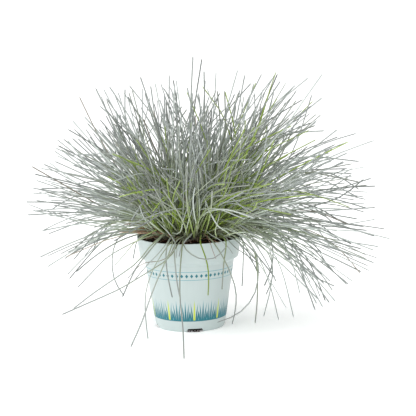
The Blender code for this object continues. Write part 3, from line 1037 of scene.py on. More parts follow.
    def scatter_chips(self, draws: random.Random) -> None:
        """Bark chips: flat splinters with skewed ends."""
        faces = ((0, 1, 3, 2), (4, 6, 7, 5), (0, 4, 5, 1), (2, 3, 7, 6), (0, 2, 6, 4), (1, 5, 7, 3))
        for _ in range(self.chips):
            length = draws.uniform(*self.chip_lengths)
            wide, high = (length * draws.uniform(*limits) for limits in (self.chip_widths, self.chip_heights))
            angle = draws.gauss(0, self.chip_tilt)
            tilt = Matrix.Rotation(angle, 3, (draws.gauss(0, 1), draws.gauss(0, 1), 0.1))
            turn = tilt @ Matrix.Rotation(draws.uniform(0, math.tau), 3, "Z")
            half = Vector((length / 2, wide, high))
            middle = self.spot(draws) * self.chip_inset
            middle.z = self.surface(middle.x, middle.y) + half.z * self.chip_lift
            points = []
            for x in (-1, 1):
                for y in (-1, 1):
                    for z in (-1, 1):
                        skew = draws.uniform(*self.chip_skew)
                        corner = Vector((x * half.x * skew, y * half.y * skew, z * half.z))
                        points.append(middle + turn @ corner)
            self.take(points, faces, draws.uniform(*self.chip_bark), draws.random())

    def scatter_fibres(self, draws: random.Random) -> None:
        """Dry root and leaf fibres in shallow bows, cut off where they would reach the wall."""
        for _ in range(self.fibres):
            length, turn = draws.uniform(*self.fibre_lengths), draws.uniform(0, math.tau)
            along = Vector((math.cos(turn), math.sin(turn), 0))
            start = self.spot(draws) * self.fibre_inset
            line = []
            for step in range(self.fibre_places):
                share = step / (self.fibre_places - 1)
                point = start + along * length * share + along.cross(UP) * length * self.fibre_bow * share**2
                if point.xy.length > self.edge_radius() - self.fibre_margin:
                    break
                rise = self.fibre_rise * share * (1 - share) * draws.random()
                point.z = self.surface(point.x, point.y) + self.fibre_lift + rise
                line.append(np.array(point))
            if len(line) > self.least_places:
                radii = np.full(len(line), self.fibre_radius)
                points, faces = tube(np.array(line), radii, UP_AXIS, 0.0, ROUND_SECTION)
                points = [Vector(point) for point in points]
                self.take(points, faces, draws.uniform(*self.fibre_bark), draws.uniform(*self.fibre_tones))

    def build(self) -> bpy.types.Object:
        """Makes the soil in place of its CAD node."""
        draws = random.Random(self.seed)
        self.body()
        for scatter in (self.scatter_crumbs, self.scatter_chips, self.scatter_fibres, self.spill):
            scatter(draws)
        attributes = {"barky": self.barky, "tone": self.tones}
        soil = mesh_object("potting_soil", self.points, self.faces, PeatBarkMix().make(), attributes)
        soil.data.set_sharp_from_angle(angle=math.radians(self.sharp_deg))
        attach(soil, "root")
        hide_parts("soil")
        return soil


SOIL = PottingSoil()


# The leaves


# Corners of a leaf's cross-section: the blade is rolled up, with a groove along its upper side, the last
# corner.
ROLLED_SECTION = ((-0.92, 0.35), (-0.72, -0.62), (0.0, -1.0), (0.72, -0.62), (0.92, 0.35), (0.0, 0.0))
ROUND_SECTION = ((-0.87, -0.5), (0.87, -0.5), (0.0, 1.0))


def tube(
    line: np.ndarray,
    radii: np.ndarray,
    upper: np.ndarray,
    twist: float,
    section: Sequence[tuple[float, float]],
) -> tuple[np.ndarray, list[Face]]:
    """Draws a section along a line, from a closed foot to a point.

    Args:
        line: the places along it.
        radii: the section's size at each place but the last.
        upper: which way the section's upper side faces at the foot.
        twist: how far it turns along the way, in radians.
        section: the corners of the section.

    Returns:
        The corners and the faces.
    """
    steps = np.diff(line, axis=0)
    headings = np.concatenate([steps[:1], steps[:-1] + steps[1:], steps[-1:]])
    headings /= np.linalg.norm(headings, axis=1, keepdims=True)
    corners, count = [], len(section)
    outline = np.array(section)
    normal = upper
    for index, (place, heading) in enumerate(zip(line[:-1], headings)):
        normal = unit(normal - heading * (normal @ heading))
        side = np.cross(normal, heading)
        turn = twist * index / len(line)
        first = side * math.cos(turn) + normal * math.sin(turn)
        second = normal * math.cos(turn) - side * math.sin(turn)
        corners.append(place + radii[index] * (outline[:, :1] * first + outline[:, 1:] * second))
    faces = [tuple(reversed(range(count)))]
    for ring in range(len(line) - 2):
        for corner in range(count):
            here, after = ring * count + corner, ring * count + (corner + 1) % count
            faces.append((here, after, after + count, here + count))
    tip, last = (len(line) - 1) * count, (len(line) - 2) * count
    faces += [(last + corner, last + (corner + 1) % count, tip) for corner in range(count)]
    return np.concatenate([*corners, line[-1:]]), faces


def smooth_line(knots: np.ndarray, shares: np.ndarray, fineness: int = 8) -> np.ndarray:
    """Places along a smooth curve through some knots.

    Args:
        knots: the places that it passes through.
        shares: how far along it each place is wanted, from 0 to 1.
        fineness: how many steps the curve is measured by between two knots.

    Returns:
        The places.
    """
    padded = np.concatenate([2 * knots[:1] - knots[1:2], knots, 2 * knots[-1:] - knots[-2:-1]])
    t = np.linspace(0, 1, fineness, endpoint=False)[:, None]
    fine = []
    for before, first, second, after in zip(padded, padded[1:], padded[2:], padded[3:]):
        leave, arrive = (second - before) / 2, (after - first) / 2
        fine.append(
            first * (2 * t**3 - 3 * t**2 + 1) + second * (3 * t**2 - 2 * t**3)
            + leave * (t**3 - 2 * t**2 + t) + arrive * (t**3 - t**2)
        )
    curve = np.concatenate([*fine, knots[-1:]])
    passed = np.concatenate([[0], np.cumsum(np.linalg.norm(np.diff(curve, axis=0), axis=1))])
    wanted = passed[-1] * shares
    return np.stack([np.interp(wanted, passed, curve[:, axis]) for axis in range(3)], axis=1)


@dataclass(frozen=True)
class WaxyFescueLeaf:
    """Living fescue leaf: a rolled green blade under a film of pale wax.

    The wax scatters light, so the eye sees a dull grey-blue that turns to plain green where leaves rub or are
    young, and a soft sheen at grazing angles. The groove that runs from foot to tip is darker: painted shade.
    """

    # From foot to tip: the sheath's own brown, darkened at the foot as painted shade of the crown's inside,
    # then olive, partly the leaf's own green and partly painted shade of the crown, then the wax, thinner at
    # the tip.
    blue: Stops = (
        (0.0, "#3A3122"), (0.05, "#57523A"), (0.12, "#969A78"), (0.24, "#9BA586"), (0.4, "#A4AE9E"),
        (0.7, "#A5ACA8"), (0.9, "#969C99"), (1.0, "#8A908E"),
    )
    # The lime leaves are as dark at the foot: painted shade of the crown's inside, over the sheath's own
    # colour.
    lime: Stops = (
        (0.0, "#3E3A1C"), (0.05, "#5E6428"), (0.14, "#88A22A"), (0.34, "#8EA838"), (0.6, "#9CA87E"),
        (0.85, "#A0A69A"),
    )
    dry: Stops = ((0.0, "#583424"), (0.40, "#8A5C3E"), (1.0, "#A88C74"))
    roughness: float = 0.52
    ior: float = 1.42
    sheen: float = 0.2
    sheen_roughness: float = 0.5
    tone_range: tuple[float, float] = (0.42, 1.62)
    # Painted shade in the groove: how much the groove corner's lightness loses.
    groove_shade: float = -0.25
    # The wax is patchy over 3 to 4 mm. It starts to be rubbed off where its pattern passes the first of these.
    patch: float = 3.5 * MM
    rub_range: tuple[float, float] = (0.5, 0.8)
    rub_most: float = 0.35

    def make(self) -> bpy.types.Material:
        """Builds the material. The mesh says where on its leaf a corner is, and how fresh, dry and light."""
        material, tree, shader = new_material("waxy_fescue_leaf")
        keys = ("share", "tone", "fresh", "dry", "groove")
        share, tone, fresh, dry, groove = (
            add(tree, "Attribute", out="Fac", attribute_name=key) for key in keys
        )
        place = add(tree, "TexCoord", out="Object")
        patches = add(tree, "TexNoise", {"Vector": place, "Scale": 1 / self.patch, "Detail": 2.0})
        low, high = self.rub_range
        rub = {"Value": patches, "From Min": low, "From Max": high, "To Max": self.rub_most}
        rubbed = add(tree, "Math", (fresh, add(tree, "MapRange", rub)), operation="MAXIMUM")
        blue, lime, dead = (
            set_ramp(add(tree, "ValToRGB", (share,)), stops) for stops in (self.blue, self.lime, self.dry)
        )
        colour = blue
        for amount, other in ((rubbed, lime), (dry, dead)):
            inks = {0: amount, MIX_FIRST: colour, MIX_SECOND: other}
            colour = add(tree, "Mix", inks, MIX_RESULT, data_type="RGBA")
        low, high = self.tone_range
        lit = add(tree, "MapRange", {"Value": tone, "To Min": low, "To Max": high})
        # The tone scales the colour, and the groove corner is darker still, as painted shade.
        shade = add(tree, "Math", (groove, self.groove_shade, lit), operation="MULTIPLY_ADD")
        feed(shader, {
            "Base Color": add(tree, "VectorMath", {0: colour, "Scale": shade}, operation="SCALE"),
            "Roughness": self.roughness,
            "IOR": self.ior,
            "Sheen Weight": self.sheen,
            "Sheen Roughness": self.sheen_roughness,
        })
        return material


@dataclass(frozen=True)
class Accent:
    """A leaf that stands out in the photograph, found by where its tip shows in the front view, in pixels."""

    across: float
    down: float
    kind: LeafKind


@dataclass(frozen=True)
class GreenPatch:
    """A round part of the front view, in pixels, where more of the leaves have lost their wax.

    Attributes:
        across: where its middle is.
        down: the same, from the top.
        reach: its radius.
        chance: the share of the leaves there that it takes.
        kinds: what they are, each as often as it is named.
    """

    across: float
    down: float
    reach: float
    chance: float
    kinds: tuple[LeafKind, ...]


@dataclass(frozen=True)
class ViewBox:
    """A box of the front view, in pixels."""

    left: float
    top: float
    right: float
    foot: float

    def holds(self, place: Vector) -> bool:
        """True if a place, in pixels, is in the box."""
        return self.left < place.x < self.right and self.top < place.y < self.foot


@dataclass(frozen=True)
class Gap(ViewBox):
    """Where the soil or the light behind shows, since a leaf crosses it only by this chance."""

    chance: float = 0.1

    def stops(self, shown: Sequence[Vector], draws: random.Random) -> bool:
        """True if a leaf that shows at some places, in pixels, crosses it against the odds."""
        return any(map(self.holds, shown)) and draws.random() > self.chance


@dataclass(frozen=True)
class Thicket(ViewBox):
    """Where the tips stand closer: each CAD leaf that ends there has so many more companions."""

    extra: int = 4


# Tips of the leaves that are greener, yellower or drier than the rest, and how near a tip has to be.
ACCENTS = (Accent(255, 324, GREEN), Accent(222, 290, GREEN), Accent(208, 296, LIME), Accent(366, 255, GREEN))
ACCENT_REACH = 6.0
GREEN_PATCHES = (
    GreenPatch(236, 140, 18, 0.12, (GREEN,)),
    GreenPatch(136, 150, 26, 0.16, (STRAW, GREEN)),
    GreenPatch(224, 200, 24, 0.75, (GREEN, GREEN, LIME)),
    GreenPatch(166, 204, 26, 0.65, (GREEN, GREEN, LIME, GREEN)),
    GreenPatch(316, 245, 22, 0.15, (GREEN,)),
)
# Where the dark soil shows between the stems, and the pot below them. A leaf that crosses is bent another
# way.
GAPS = (
    Gap(134, 228, 152, 241),
    Gap(148, 230, 170, 246),
    Gap(168, 234, 206, 248),
    Gap(200, 229, 236, 245),
    Gap(136, 248, 240, 332, 0.0),
)
# Where fewer leaves grow at all, rather than that they pass by.
THINNED = (
    Gap(152, 80, 182, 160, 0.42),
    Gap(182, 92, 222, 160, 0.65),
    Gap(122, 130, 152, 168, 0.8),
    Gap(256, 140, 290, 184, 0.75),
    Gap(40, 190, 124, 240, 0.4),
    Gap(262, 202, 340, 219, 0.5),
)
# Where the outline is fullest.
THICKETS = (
    Thicket(74, 88, 122, 132, 7),
    Thicket(40, 126, 100, 186, 3),
    Thicket(184, 60, 232, 112, 2),
    Thicket(258, 72, 330, 110, 9),
    Thicket(290, 172, 350, 198, 4),
    Thicket(275, 226, 390, 262, 4),
    Thicket(256, 262, 345, 300, 1),
)
# Where no long leaf ends, since all of them rise through it.
CORE = ViewBox(150, 196, 245, 240)


@dataclass(frozen=True)
class FrontLeaf:
    """A leaf that the photograph shows one by one, before the rest of the clump.

    Attributes:
        kind: how fresh and dry it is.
        foot: where on the crown it grows, so from which tuft, in millimetres.
        knots: where it passes on the way to its tip, as pixels across and down in the front view and
            millimetres before the pot's axis.
        radius: half its width, in millimetres.
        tone: how light it is, from 0 to 1.
    """

    kind: LeafKind
    foot: tuple[float, float]
    knots: tuple[tuple[float, float, float], ...]
    radius: float = 0.66
    tone: float = 0.85

    def places(self) -> np.ndarray:
        """The places that it passes through."""
        return np.array([VIEW.place(*knot) for knot in self.knots])


FRONT_LEAVES = tuple(FrontLeaf(*row) for row in (
    # Silver leaves that arch to the right over the middle.
    (BLUE, (-8, -28), ((190, 213, 52), (201, 204, 66), (211, 197, 78), (224, 195, 88), (241, 196, 96))),
    (BLUE, (2, -22), ((206, 202, 54), (211, 189, 70), (221, 190, 82), (234, 200, 94), (249, 212, 102))),
    (BLUE, (8, -22), ((206, 212, 50), (215, 204, 66), (240, 200, 82), (270, 189, 92))),
    (BLUE, (8, -28), ((218, 228, 44), (232, 231, 54), (246, 239, 63), (256, 253, 69))),
    # Wide and short ones that lean to the left.
    (BLUE, (32, -12), (
        (230, 235, 44), (224, 230, 52), (218, 226, 60), (213, 218, 68), (208, 208, 76), (204, 196, 84),
    ), 0.95),
    (BLUE, (-25, -15), ((166, 214, 50), (174, 202, 66), (188, 188, 78)), 0.8),
    # Green ones that stand up in the middle and on the left.
    (GREEN, (6, -22), ((214, 205, 50), (221, 185, 66), (231, 156, 80))),
    (GREEN, (14, -16), ((222, 205, 50), (229, 190, 62), (237, 178, 74))),
    (GREEN, (-26, -24), ((167, 222, 44), (162, 205, 60), (159, 189, 72))),
    (GREEN, (-22, -18), ((166, 222, 46), (163, 209, 58), (164, 197, 66), (160, 180, 76))),
    (GREEN, (20, -20), (
        (217, 218, 52), (224, 197, 68), (231, 180, 80), (239, 157, 92), (241, 138, 98),
    ), 0.6, 0.7),
    # Yellow-green ones on the right of the middle.
    (LIME, (14, -20), ((211, 209, 56), (217, 186, 74), (229, 161, 88), (245, 143, 94)), 0.6, 0.4),
    (LIME, (25, -18), ((222, 214, 54), (226, 200, 66), (233, 186, 76), (240, 170, 82)), 0.6, 0.5),
    (LIME, (24, -20), ((222, 216, 54), (230, 206, 66), (245, 200, 78), (264, 200, 86)), 0.6, 0.5),
    (LIME, (20, -20), ((216, 218, 54), (218, 206, 64), (224, 194, 72), (228, 180, 78)), 0.6, 0.6),
    (LIME, (3, -28), ((192, 218, 52), (187, 200, 66), (189, 183, 76), (195, 161, 86)), 0.5, 0.7),
    (LIME, (-5, -28), ((189, 232, 46), (189, 222, 54), (191, 210, 60)), 0.5, 0.7),
    # Yellow-green ones low on the left, and a green one that hangs there.
    (LIME, (-20, -12), ((168, 202, 62), (158, 190, 84), (139, 192, 104), (118, 197, 114)), 0.55, 0.8),
    (LIME, (-18, -24), (
        (173, 214, 56), (171, 201, 68), (166, 195, 76), (159, 203, 82), (152, 212, 84),
    ), 0.6, 1.0),
    (LIME, (-30, -18), ((153, 223, 44), (157, 208, 62), (169, 196, 74))),
    (LIME, (-12, -30), ((181, 217, 54), (166, 214, 70), (151, 217, 80))),
    (GREEN, (-22, -22), (
        (161, 229, 40), (150, 233, 48), (141, 238, 52), (134, 243, 54), (124, 255, 54), (114, 266, 54),
    ), 0.6),
    (LIME, (12, -26), ((222, 222, 50), (236, 217, 66), (250, 216, 78))),
    (LIME, (-20, -20), ((172, 226, 46), (176, 214, 60), (172, 200, 72))),
    (LIME, (-12, -20), ((180, 228, 46), (186, 218, 60), (190, 206, 70))),
    # Silver stems that stand before the dark soil.
    (BLUE, (-18, -22), ((168, 231, 42), (164, 226, 50), (162, 217, 58), (158, 205, 66))),
    (BLUE, (-18, -26), (
        (172, 233, 46), (177, 234, 52), (181, 231, 56), (182, 226, 60), (184, 217, 66), (189, 204, 72),
    )),
    (BLUE, (-6, -36), ((185, 234, 50), (187, 227, 56), (189, 219, 62), (194, 204, 70))),
    (BLUE, (4, -30), ((198, 228, 48), (196, 222, 54), (193, 216, 60), (187, 206, 68))),
    (GREEN, (20, -32), ((216, 237, 48), (215, 232, 54), (216, 227, 60), (220, 213, 68))),
    (BLUE, (24, -22), ((226, 228, 46), (235, 231, 54), (242, 235, 60), (254, 243, 66))),
    # Silver ones that reach out to the left, low over the rim.
    (BLUE, (-24, -4), ((156, 224, 34), (138, 222, 50), (116, 225, 62), (92, 232, 70))),
    (BLUE, (-24, -14), ((154, 227, 40), (134, 226, 54), (110, 229, 66), (82, 239, 74))),
    (BLUE, (-26, 4), ((152, 222, 24), (132, 219, 38), (110, 219, 50), (88, 223, 56))),
    # Longer ones there, which cross.
    (BLUE, (-24, -12), (
        (150, 221, 30), (126, 226, 40), (95, 226, 46), (69, 219, 44), (44, 210, 40), (28, 204, 36),
    ), 0.7, 0.4),
    (BLUE, (-24, -6), (
        (150, 216, 28), (118, 211, 38), (84, 205, 44), (66, 196, 44), (49, 192, 40), (34, 188, 36),
    ), 0.7, 0.5),
    (BLUE, (-26, -14), (
        (150, 219, 34), (126, 213, 46), (100, 209, 52), (80, 208, 52), (55, 209, 48), (34, 211, 42),
    ), 0.7, 0.5),
    (BLUE, (-24, -4), (
        (150, 214, 28), (118, 202, 40), (94, 196, 46), (77, 196, 48), (63, 202, 46), (51, 210, 42),
    ), 0.7, 0.4),
    (BLUE, (-26, -8), (
        (150, 220, 30), (126, 217, 42), (98, 213, 48), (80, 215, 50), (60, 222, 48), (42, 231, 44),
    ), 0.7, 0.5),
    (STRAW, (-24, -16), (
        (152, 224, 36), (134, 231, 48), (121, 236, 54), (106, 240, 58), (89, 247, 58), (66, 257, 54),
    ), 0.66, 0.5),
    # Silver ones that bend down over the rim. They take lower tones: painted shade of the side that they show
    # where they hang.
    (BLUE, (-26, -16), (
        (152, 217, 36), (157, 221, 42), (164, 228, 50), (170, 234, 56), (174, 240, 62), (177, 248, 68),
        (176, 259, 70),
    ), 0.78, 0.8),
    (BLUE, (-14, -22), (
        (166, 233, 42), (159, 238, 52), (152, 248, 58), (146, 256, 58), (139, 263, 56), (134, 271, 56),
        (127, 279, 56),
    ), 0.6, 0.4),
    (BLUE, (-12, -28), (
        (174, 234, 46), (169, 240, 58), (163, 248, 64), (158, 254, 64), (150, 262, 62), (142, 271, 60),
        (133, 282, 58),
    ), 0.6, 0.4),
    (BLUE, (8, -30), (
        (195, 231, 46), (190, 236, 56), (185, 241, 64), (181, 248, 68), (179, 257, 68),
    ), 0.66, 0.6),
    (BLUE, (8, -28), (
        (203, 230, 46), (211, 235, 54), (220, 240, 58), (229, 248, 60), (233, 254, 60),
    ), 0.5, 0.5),
    (BLUE, (20, -24), (
        (220, 233, 44), (227, 239, 48), (236, 248, 44), (245, 254, 40), (257, 263, 36),
    ), 0.66, 0.3),
    # Thin dead ones there.
    (STRAW, (-6, -32), (
        (178, 238, 58), (174, 247, 66), (169, 256, 68), (160, 261, 66), (150, 262, 62), (142, 264, 58),
        (134, 271, 56),
    ), 0.48, 0.4),
    (DRY, (10, -28), ((203, 233, 46), (209, 240, 60), (213, 251, 66), (216, 259, 66)), 0.45, 0.2),
    # Dead ones that lie over the soil and the rim on the left.
    (DRY, (-26, -6), ((158, 229, 16), (148, 226, 24), (136, 224, 30), (124, 224, 34)), 0.9, 0.4),
    (DRY, (-26, 4), ((152, 225, 10), (140, 220, 20), (128, 218, 28)), 0.7, 0.5),
    (DRY, (-26, -12), ((160, 231, 24), (148, 230, 30), (138, 231, 36), (126, 230, 40)), 0.8, 0.3),
    (DRY, (-26, -4), ((158, 230, 16), (150, 229, 24), (143, 228, 28), (136, 229, 32)), 1.0),
    (DRY, (-26, -14), ((162, 232, 26), (154, 232, 32), (146, 233, 36), (137, 233, 38)), 0.9, 0.5),
    (DRY, (-18, -24), ((173, 236, 42), (166, 234, 40), (158, 233, 36), (152, 233, 32)), 1.0, 0.5),
    (DRY, (-24, 0), ((160, 226, 10), (150, 224, 20), (140, 222, 26), (127, 221, 32)), 0.8, 0.5),
    (DRY, (-26, -10), ((150, 231, 24), (140, 232, 30), (131, 232, 34), (119, 232, 38)), 0.6, 0.9),
    (DRY, (-24, -4), ((156, 228, 12), (146, 226, 22), (134, 226, 32)), 0.7, 0.7),
))


@dataclass
class LeafMesh:
    """Collects the leaves of a tuft as one mesh.

    Attributes:
        places: how many places each leaf is drawn through.
        spacing: how much closer they stand near its foot, as a power.
        tip_from: the share of the way at which the short point at the tip starts.
        taper: how much narrower the leaf is where that point starts, as a share of its width.
        foot_width: its width at its foot, as a share.
        swell: how much it widens from there.
        swell_share: the share of the way over which it does.
        tilt: how far its upper side is turned from straight up.
        twist: how far it turns along its way, in radians.
        points: the corners of each leaf so far.
        faces: the faces of them all.
        values: what the material reads, by name, for the corners of each leaf.
        corners: how many corners there are.
        leaves: how many leaves there are.
    """

    places: int = 15
    spacing: float = 1.1
    tip_from: float = 0.985
    taper: float = 0.08
    foot_width: float = 0.7
    swell: float = 0.3
    swell_share: float = 0.15
    tilt: float = 0.4
    twist: float = 0.9
    points: list[np.ndarray] = field(default_factory=list)
    faces: list[Face] = field(default_factory=list)
    values: dict[str, list[np.ndarray]] = field(default_factory=dict)
    corners: int = 0
    leaves: int = 0

    def add_leaf(
        self, line: np.ndarray, radius: float, kind: LeafKind, draws: random.Random, tone: float | None = None
    ) -> None:
        """Draws a leaf, with its groove up, a slight twist and a blunt tip, and takes it in.

        Args:
            line: the knots of its curve, from its foot to its tip.
            radius: half its width at its widest.
            kind: how fresh and dry it is.
            draws: the tuft's random numbers.
            tone: how light it is from 0 to 1, or None for any.
        """
        rings, corners = self.places - 1, len(ROLLED_SECTION)
        shares = np.append(np.linspace(0, 1, rings) ** self.spacing * self.tip_from, 1.0)
        swell = self.foot_width + self.swell * np.minimum(shares / self.swell_share, 1)
        radii = radius * swell * (1 - self.taper * shares**3)
        upper, twist = UP_AXIS + any_way(draws, self.tilt), draws.gauss(0, self.twist)
        points, faces = tube(smooth_line(line, shares), radii, upper, twist, ROLLED_SECTION)
        state = kind.value
        any_tone = draws.uniform(state.darkest, state.lightest)
        values = {
            "share": np.append(np.repeat(shares[:-1], corners), 1.0) * state.ripe,
            "groove": np.append(np.tile([0] * (corners - 1) + [1], rings), 0),
            "tone": any_tone if tone is None else tone,
            "fresh": state.fresh,
            "dry": state.dry,
        }
        self.points.append(points)
        self.faces += [tuple(self.corners + corner for corner in face) for face in faces]
        for key, value in values.items():
            self.values.setdefault(key, []).append(np.broadcast_to(value, len(points)))
        self.corners += len(points)
        self.leaves += 1

    def build(self, name: str, finish: bpy.types.Material) -> bpy.types.Object:
        """Makes the object."""
        attributes = {key: np.concatenate(values) for key, values in self.values.items()}
        return mesh_object(name, np.concatenate(self.points), self.faces, finish, attributes)


@dataclass
class CadTuft:
    """What a CAD tuft says: where it stands, and the lines of its leaves.

    Attributes:
        name: the CAD node.
        foot: the middle of its sheath's foot.
        lines: each leaf's places, from the sheath's top to the tip.
    """

    name: str
    foot: np.ndarray
    lines: list[np.ndarray]

    @classmethod
    def read(cls, name: str, weld: float = 0.002 * MM) -> "CadTuft":
        """Reads a tuft back from its node.

        A leaf's tip is the only corner with three edges. On the way back to the sheath its rings have three
        corners each, and the last of them is the sheath's own top face.

        Args:
            name: the CAD node.
            weld: how near corners are the same one.

        Returns:
            The tuft.
        """
        shape = bmesh.new()
        shape.from_mesh(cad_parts[name].data)
        bmesh.ops.remove_doubles(shape, verts=shape.verts, dist=weld)
        shape.verts.index_update()
        shape.verts.ensure_lookup_table()
        lines, passed = [], set()
        for tip in [vert for vert in shape.verts if len(vert.link_edges) == 3]:
            ring, seen, line = [tip], {tip.index}, []
            while len(ring) in (1, 3):
                line.append(np.mean([vert.co for vert in ring], axis=0))
                seen.update(vert.index for vert in ring)
                around = {edge.other_vert(vert).index for vert in ring for edge in vert.link_edges}
                ring = [shape.verts[index] for index in sorted(around - seen)]
            lines.append(np.array(line[::-1]))
            passed |= seen
        foot = np.mean([vert.co for vert in shape.verts if vert.index not in passed], axis=0)
        shape.free()
        return cls(name, foot, lines)


@dataclass
class Envelope:
    """How far the clump reaches each way, as the tips of the CAD leaves say.

    Attributes:
        middle: the middle of the clump's foot.
        tips: the tips of all the CAD leaves.
        nearest: how many tips a limit is taken from.
        slack_deg: how evenly they count, as an angle.
        allowance: the furthest reach, as a share of theirs.
    """

    middle: np.ndarray
    tips: np.ndarray
    nearest: int = 6
    slack_deg: float = 4.0
    allowance: float = 1.02

    def fit(self, line: np.ndarray, foot: np.ndarray) -> np.ndarray:
        """Shortens a leaf that reaches further than the CAD leaves around it.

        Args:
            line: the leaf's places.
            foot: the foot about which it is shortened.

        Returns:
            The leaf's places, shortened where it was too long.
        """
        arms = self.tips - self.middle
        reaches = np.linalg.norm(arms, axis=1)
        arm = line[-1] - self.middle
        reach = float(np.linalg.norm(arm))
        angles = np.degrees(np.arccos(np.clip(arms @ arm / (reaches * reach), -1, 1)))
        closest = np.argsort(angles)[: self.nearest]
        limit = np.average(reaches[closest], weights=1 / (angles[closest] + self.slack_deg))
        return foot + (line - foot) * min(1.0, self.allowance * limit / reach)


@dataclass
class FescueTuft:
    """The needles of one tuft: those that the CAD solid carries, and the thinner ones beside them.

    Weights are how often a leaf is blue, green, lime, straw and dry.

    Attributes:
        cad: the CAD tuft.
        envelope: how far the clump reaches.
        finish: the leaves' material.
        front: the leaves that the photograph shows one by one and that grow from this tuft.
        companions: thinner leaves beside a CAD leaf that is low, that leans, and that stands upright.
        upright_rise: the least share of its reach by which an upright leaf rises.
        edge_share: the share of those companions that a tuft at the front edge has.
        edge_depth: how far before the axis that edge starts.
        patch_depth: how far behind the axis a leaf may end that a green patch takes.
        cad_leaf_radius: half the width of a CAD leaf.
        foot_share: how far up inside the sheath a CAD leaf starts.
        sway: how far the CAD leaves are bent, as a share of their length.
        long_weights: the kinds of the long leaves.
        hang_below: how far below the rim a hanging leaf comes.
        hang_right: how far to the right hanging leaves are drawn one by one, as a share of the rim's radius.
        hanging_radius: half the width of a hanging leaf.
        hanging_shade_tone: how light it is: low, as painted shade of the shaded side that a hanging leaf shows.
        hanging_sway: how far it is bent, as a share of its length.
        hanging_weights: the kinds of the hanging leaves.
        leaf_radius: half the width of a companion.
        leaf_widths: the narrowest and the widest, as shares of that.
        sheath_radius: half the width of the sheath.
        shift: how far from its middle a companion starts, as a share of that.
        least_deg: the least angle at which a companion stands apart from its CAD leaf.
        near_deg: the greatest such angle for most of them.
        stray_deg: the greatest for the others.
        stray_chance: how many are the others.
        least_share: the shortest companion, as a share of its CAD leaf.
        length_power: how much more often they are nearly as long.
        bow: how far the companions are bent, as a share of their length.
        bow_back: how far a bow swings back before it bends.
        wild: how many times further some of them are bent.
        wild_chance: how many are bent so.
        hook: how many times less their ends are bent than the rest.
        over_rim: how far above the pot's rim the companions pass.
        tries: how many bends are tried before a companion is given up.
        young: short leaves that come up inside the tuft and cross each other.
        young_radius: half the width of one.
        young_length: the shortest and the longest.
        young_spread: how far apart they point.
        young_rise: how far up they are turned.
        young_droop: how far they droop outwards, and how much of that is down.
        young_bow: how far they bend any way.
        young_weights: their kinds.
        thatch: short dead leaves round its foot.
        thatch_radius: half the width of one.
        thatch_length: the shortest and the longest.
        thatch_turn: how far from straight out they point, in radians.
        thatch_rise: how far up they are turned, at least and at most.
        thatch_foot: how far above the tuft's foot they start.
        thatch_droop: how far they droop, as a share of their length.
        thatch_weights: how often they are dry and straw.
        knots: how many places a young or dead leaf is bent at.
        clearance: how far any leaf stays from the pot, the soil and the floor.
        out_of_sheath: from what share of its length on a leaf is tested for that, and at how many places.
        out_of_crown: the same for the gaps that it may cross.
    """

    cad: CadTuft
    envelope: Envelope
    finish: bpy.types.Material
    front: list[FrontLeaf] = field(default_factory=list)
    companions: tuple[int, int, int] = (2, 4, 6)
    upright_rise: float = 0.72
    edge_share: float = 0.5
    edge_depth: float = 24 * MM
    patch_depth: float = 30 * MM
    cad_leaf_radius: float = 0.8 * MM
    foot_share: float = 0.05
    sway: float = 0.035
    long_weights: tuple[int, ...] = (96, 3, 0, 1, 0)
    hang_below: float = 2 * MM
    hang_right: float = 1.3
    hanging_radius: float = 0.82 * MM
    hanging_shade_tone: float = 0.4
    hanging_sway: float = 0.005
    hanging_weights: tuple[int, ...] = (96, 0, 0, 4, 0)
    leaf_radius: float = 0.75 * MM
    leaf_widths: tuple[float, float] = (0.8, 1.15)
    sheath_radius: float = 2.4 * MM
    shift: float = 0.45
    least_deg: float = 4.0
    near_deg: float = 20.0
    stray_deg: float = 42.0
    stray_chance: float = 0.3
    least_share: float = 0.72
    length_power: float = 1.7
    bow: float = 0.38
    bow_back: float = 0.6
    wild: float = 2.0
    wild_chance: float = 0.14
    hook: float = 3.0
    over_rim: float = 8 * MM
    tries: int = 14
    young: int = 4
    young_radius: float = 0.55 * MM
    young_length: tuple[float, float] = (35 * MM, 115 * MM)
    young_spread: float = 0.42
    young_rise: float = 0.3
    young_droop: tuple[float, float] = (0.14, -0.5)
    young_bow: float = 0.28
    young_weights: tuple[int, ...] = (42, 36, 16, 4, 2)
    thatch: int = 3
    thatch_radius: float = 0.35 * MM
    thatch_length: tuple[float, float] = (14 * MM, 42 * MM)
    thatch_turn: float = 0.9
    thatch_rise: tuple[float, float] = (0.1, 0.7)
    thatch_foot: float = 1.5 * MM
    thatch_droop: float = 0.25
    thatch_weights: tuple[int, int] = (70, 30)
    knots: int = 7
    clearance: float = 0.9 * MM
    out_of_sheath: tuple[float, int] = (0.1, 36)
    out_of_crown: tuple[float, int] = (0.12, 24)

    def clears(self, line: np.ndarray, over_rim: float = 0.0) -> bool:
        """Tells whether a leaf stays above the floor and the soil, and out of the pot's wall.

        Args:
            line: the leaf's places.
            over_rim: how far above the rim it has to pass, on top of the usual clearance.

        Returns:
            True if it does.
        """
        start, count = self.out_of_sheath
        fine = smooth_line(line, np.linspace(start, 1, count))
        radii, heights = np.hypot(fine[:, 0], fine[:, 1]), fine[:, 2]
        beside = radii > POT.outer_radius(heights) + self.clearance
        over = heights > POT.height + self.clearance + over_rim
        in_mouth = radii < POT.inner_radius(POT.height) - self.clearance
        on_soil = in_mouth & (heights > SOIL.level(radii) + self.clearance)
        return bool((beside | over | on_soil).all() and heights.min() > self.clearance)

    def hangs(self, line: np.ndarray) -> bool:
        """True if a leaf hangs down on the front or on the left, where each leaf is drawn one by one."""
        below = line[:, 2] < POT.height - self.hang_below
        return bool((below & (line[:, 1] < 0) & (line[:, 0] < POT.rim_radius * self.hang_right)).any())

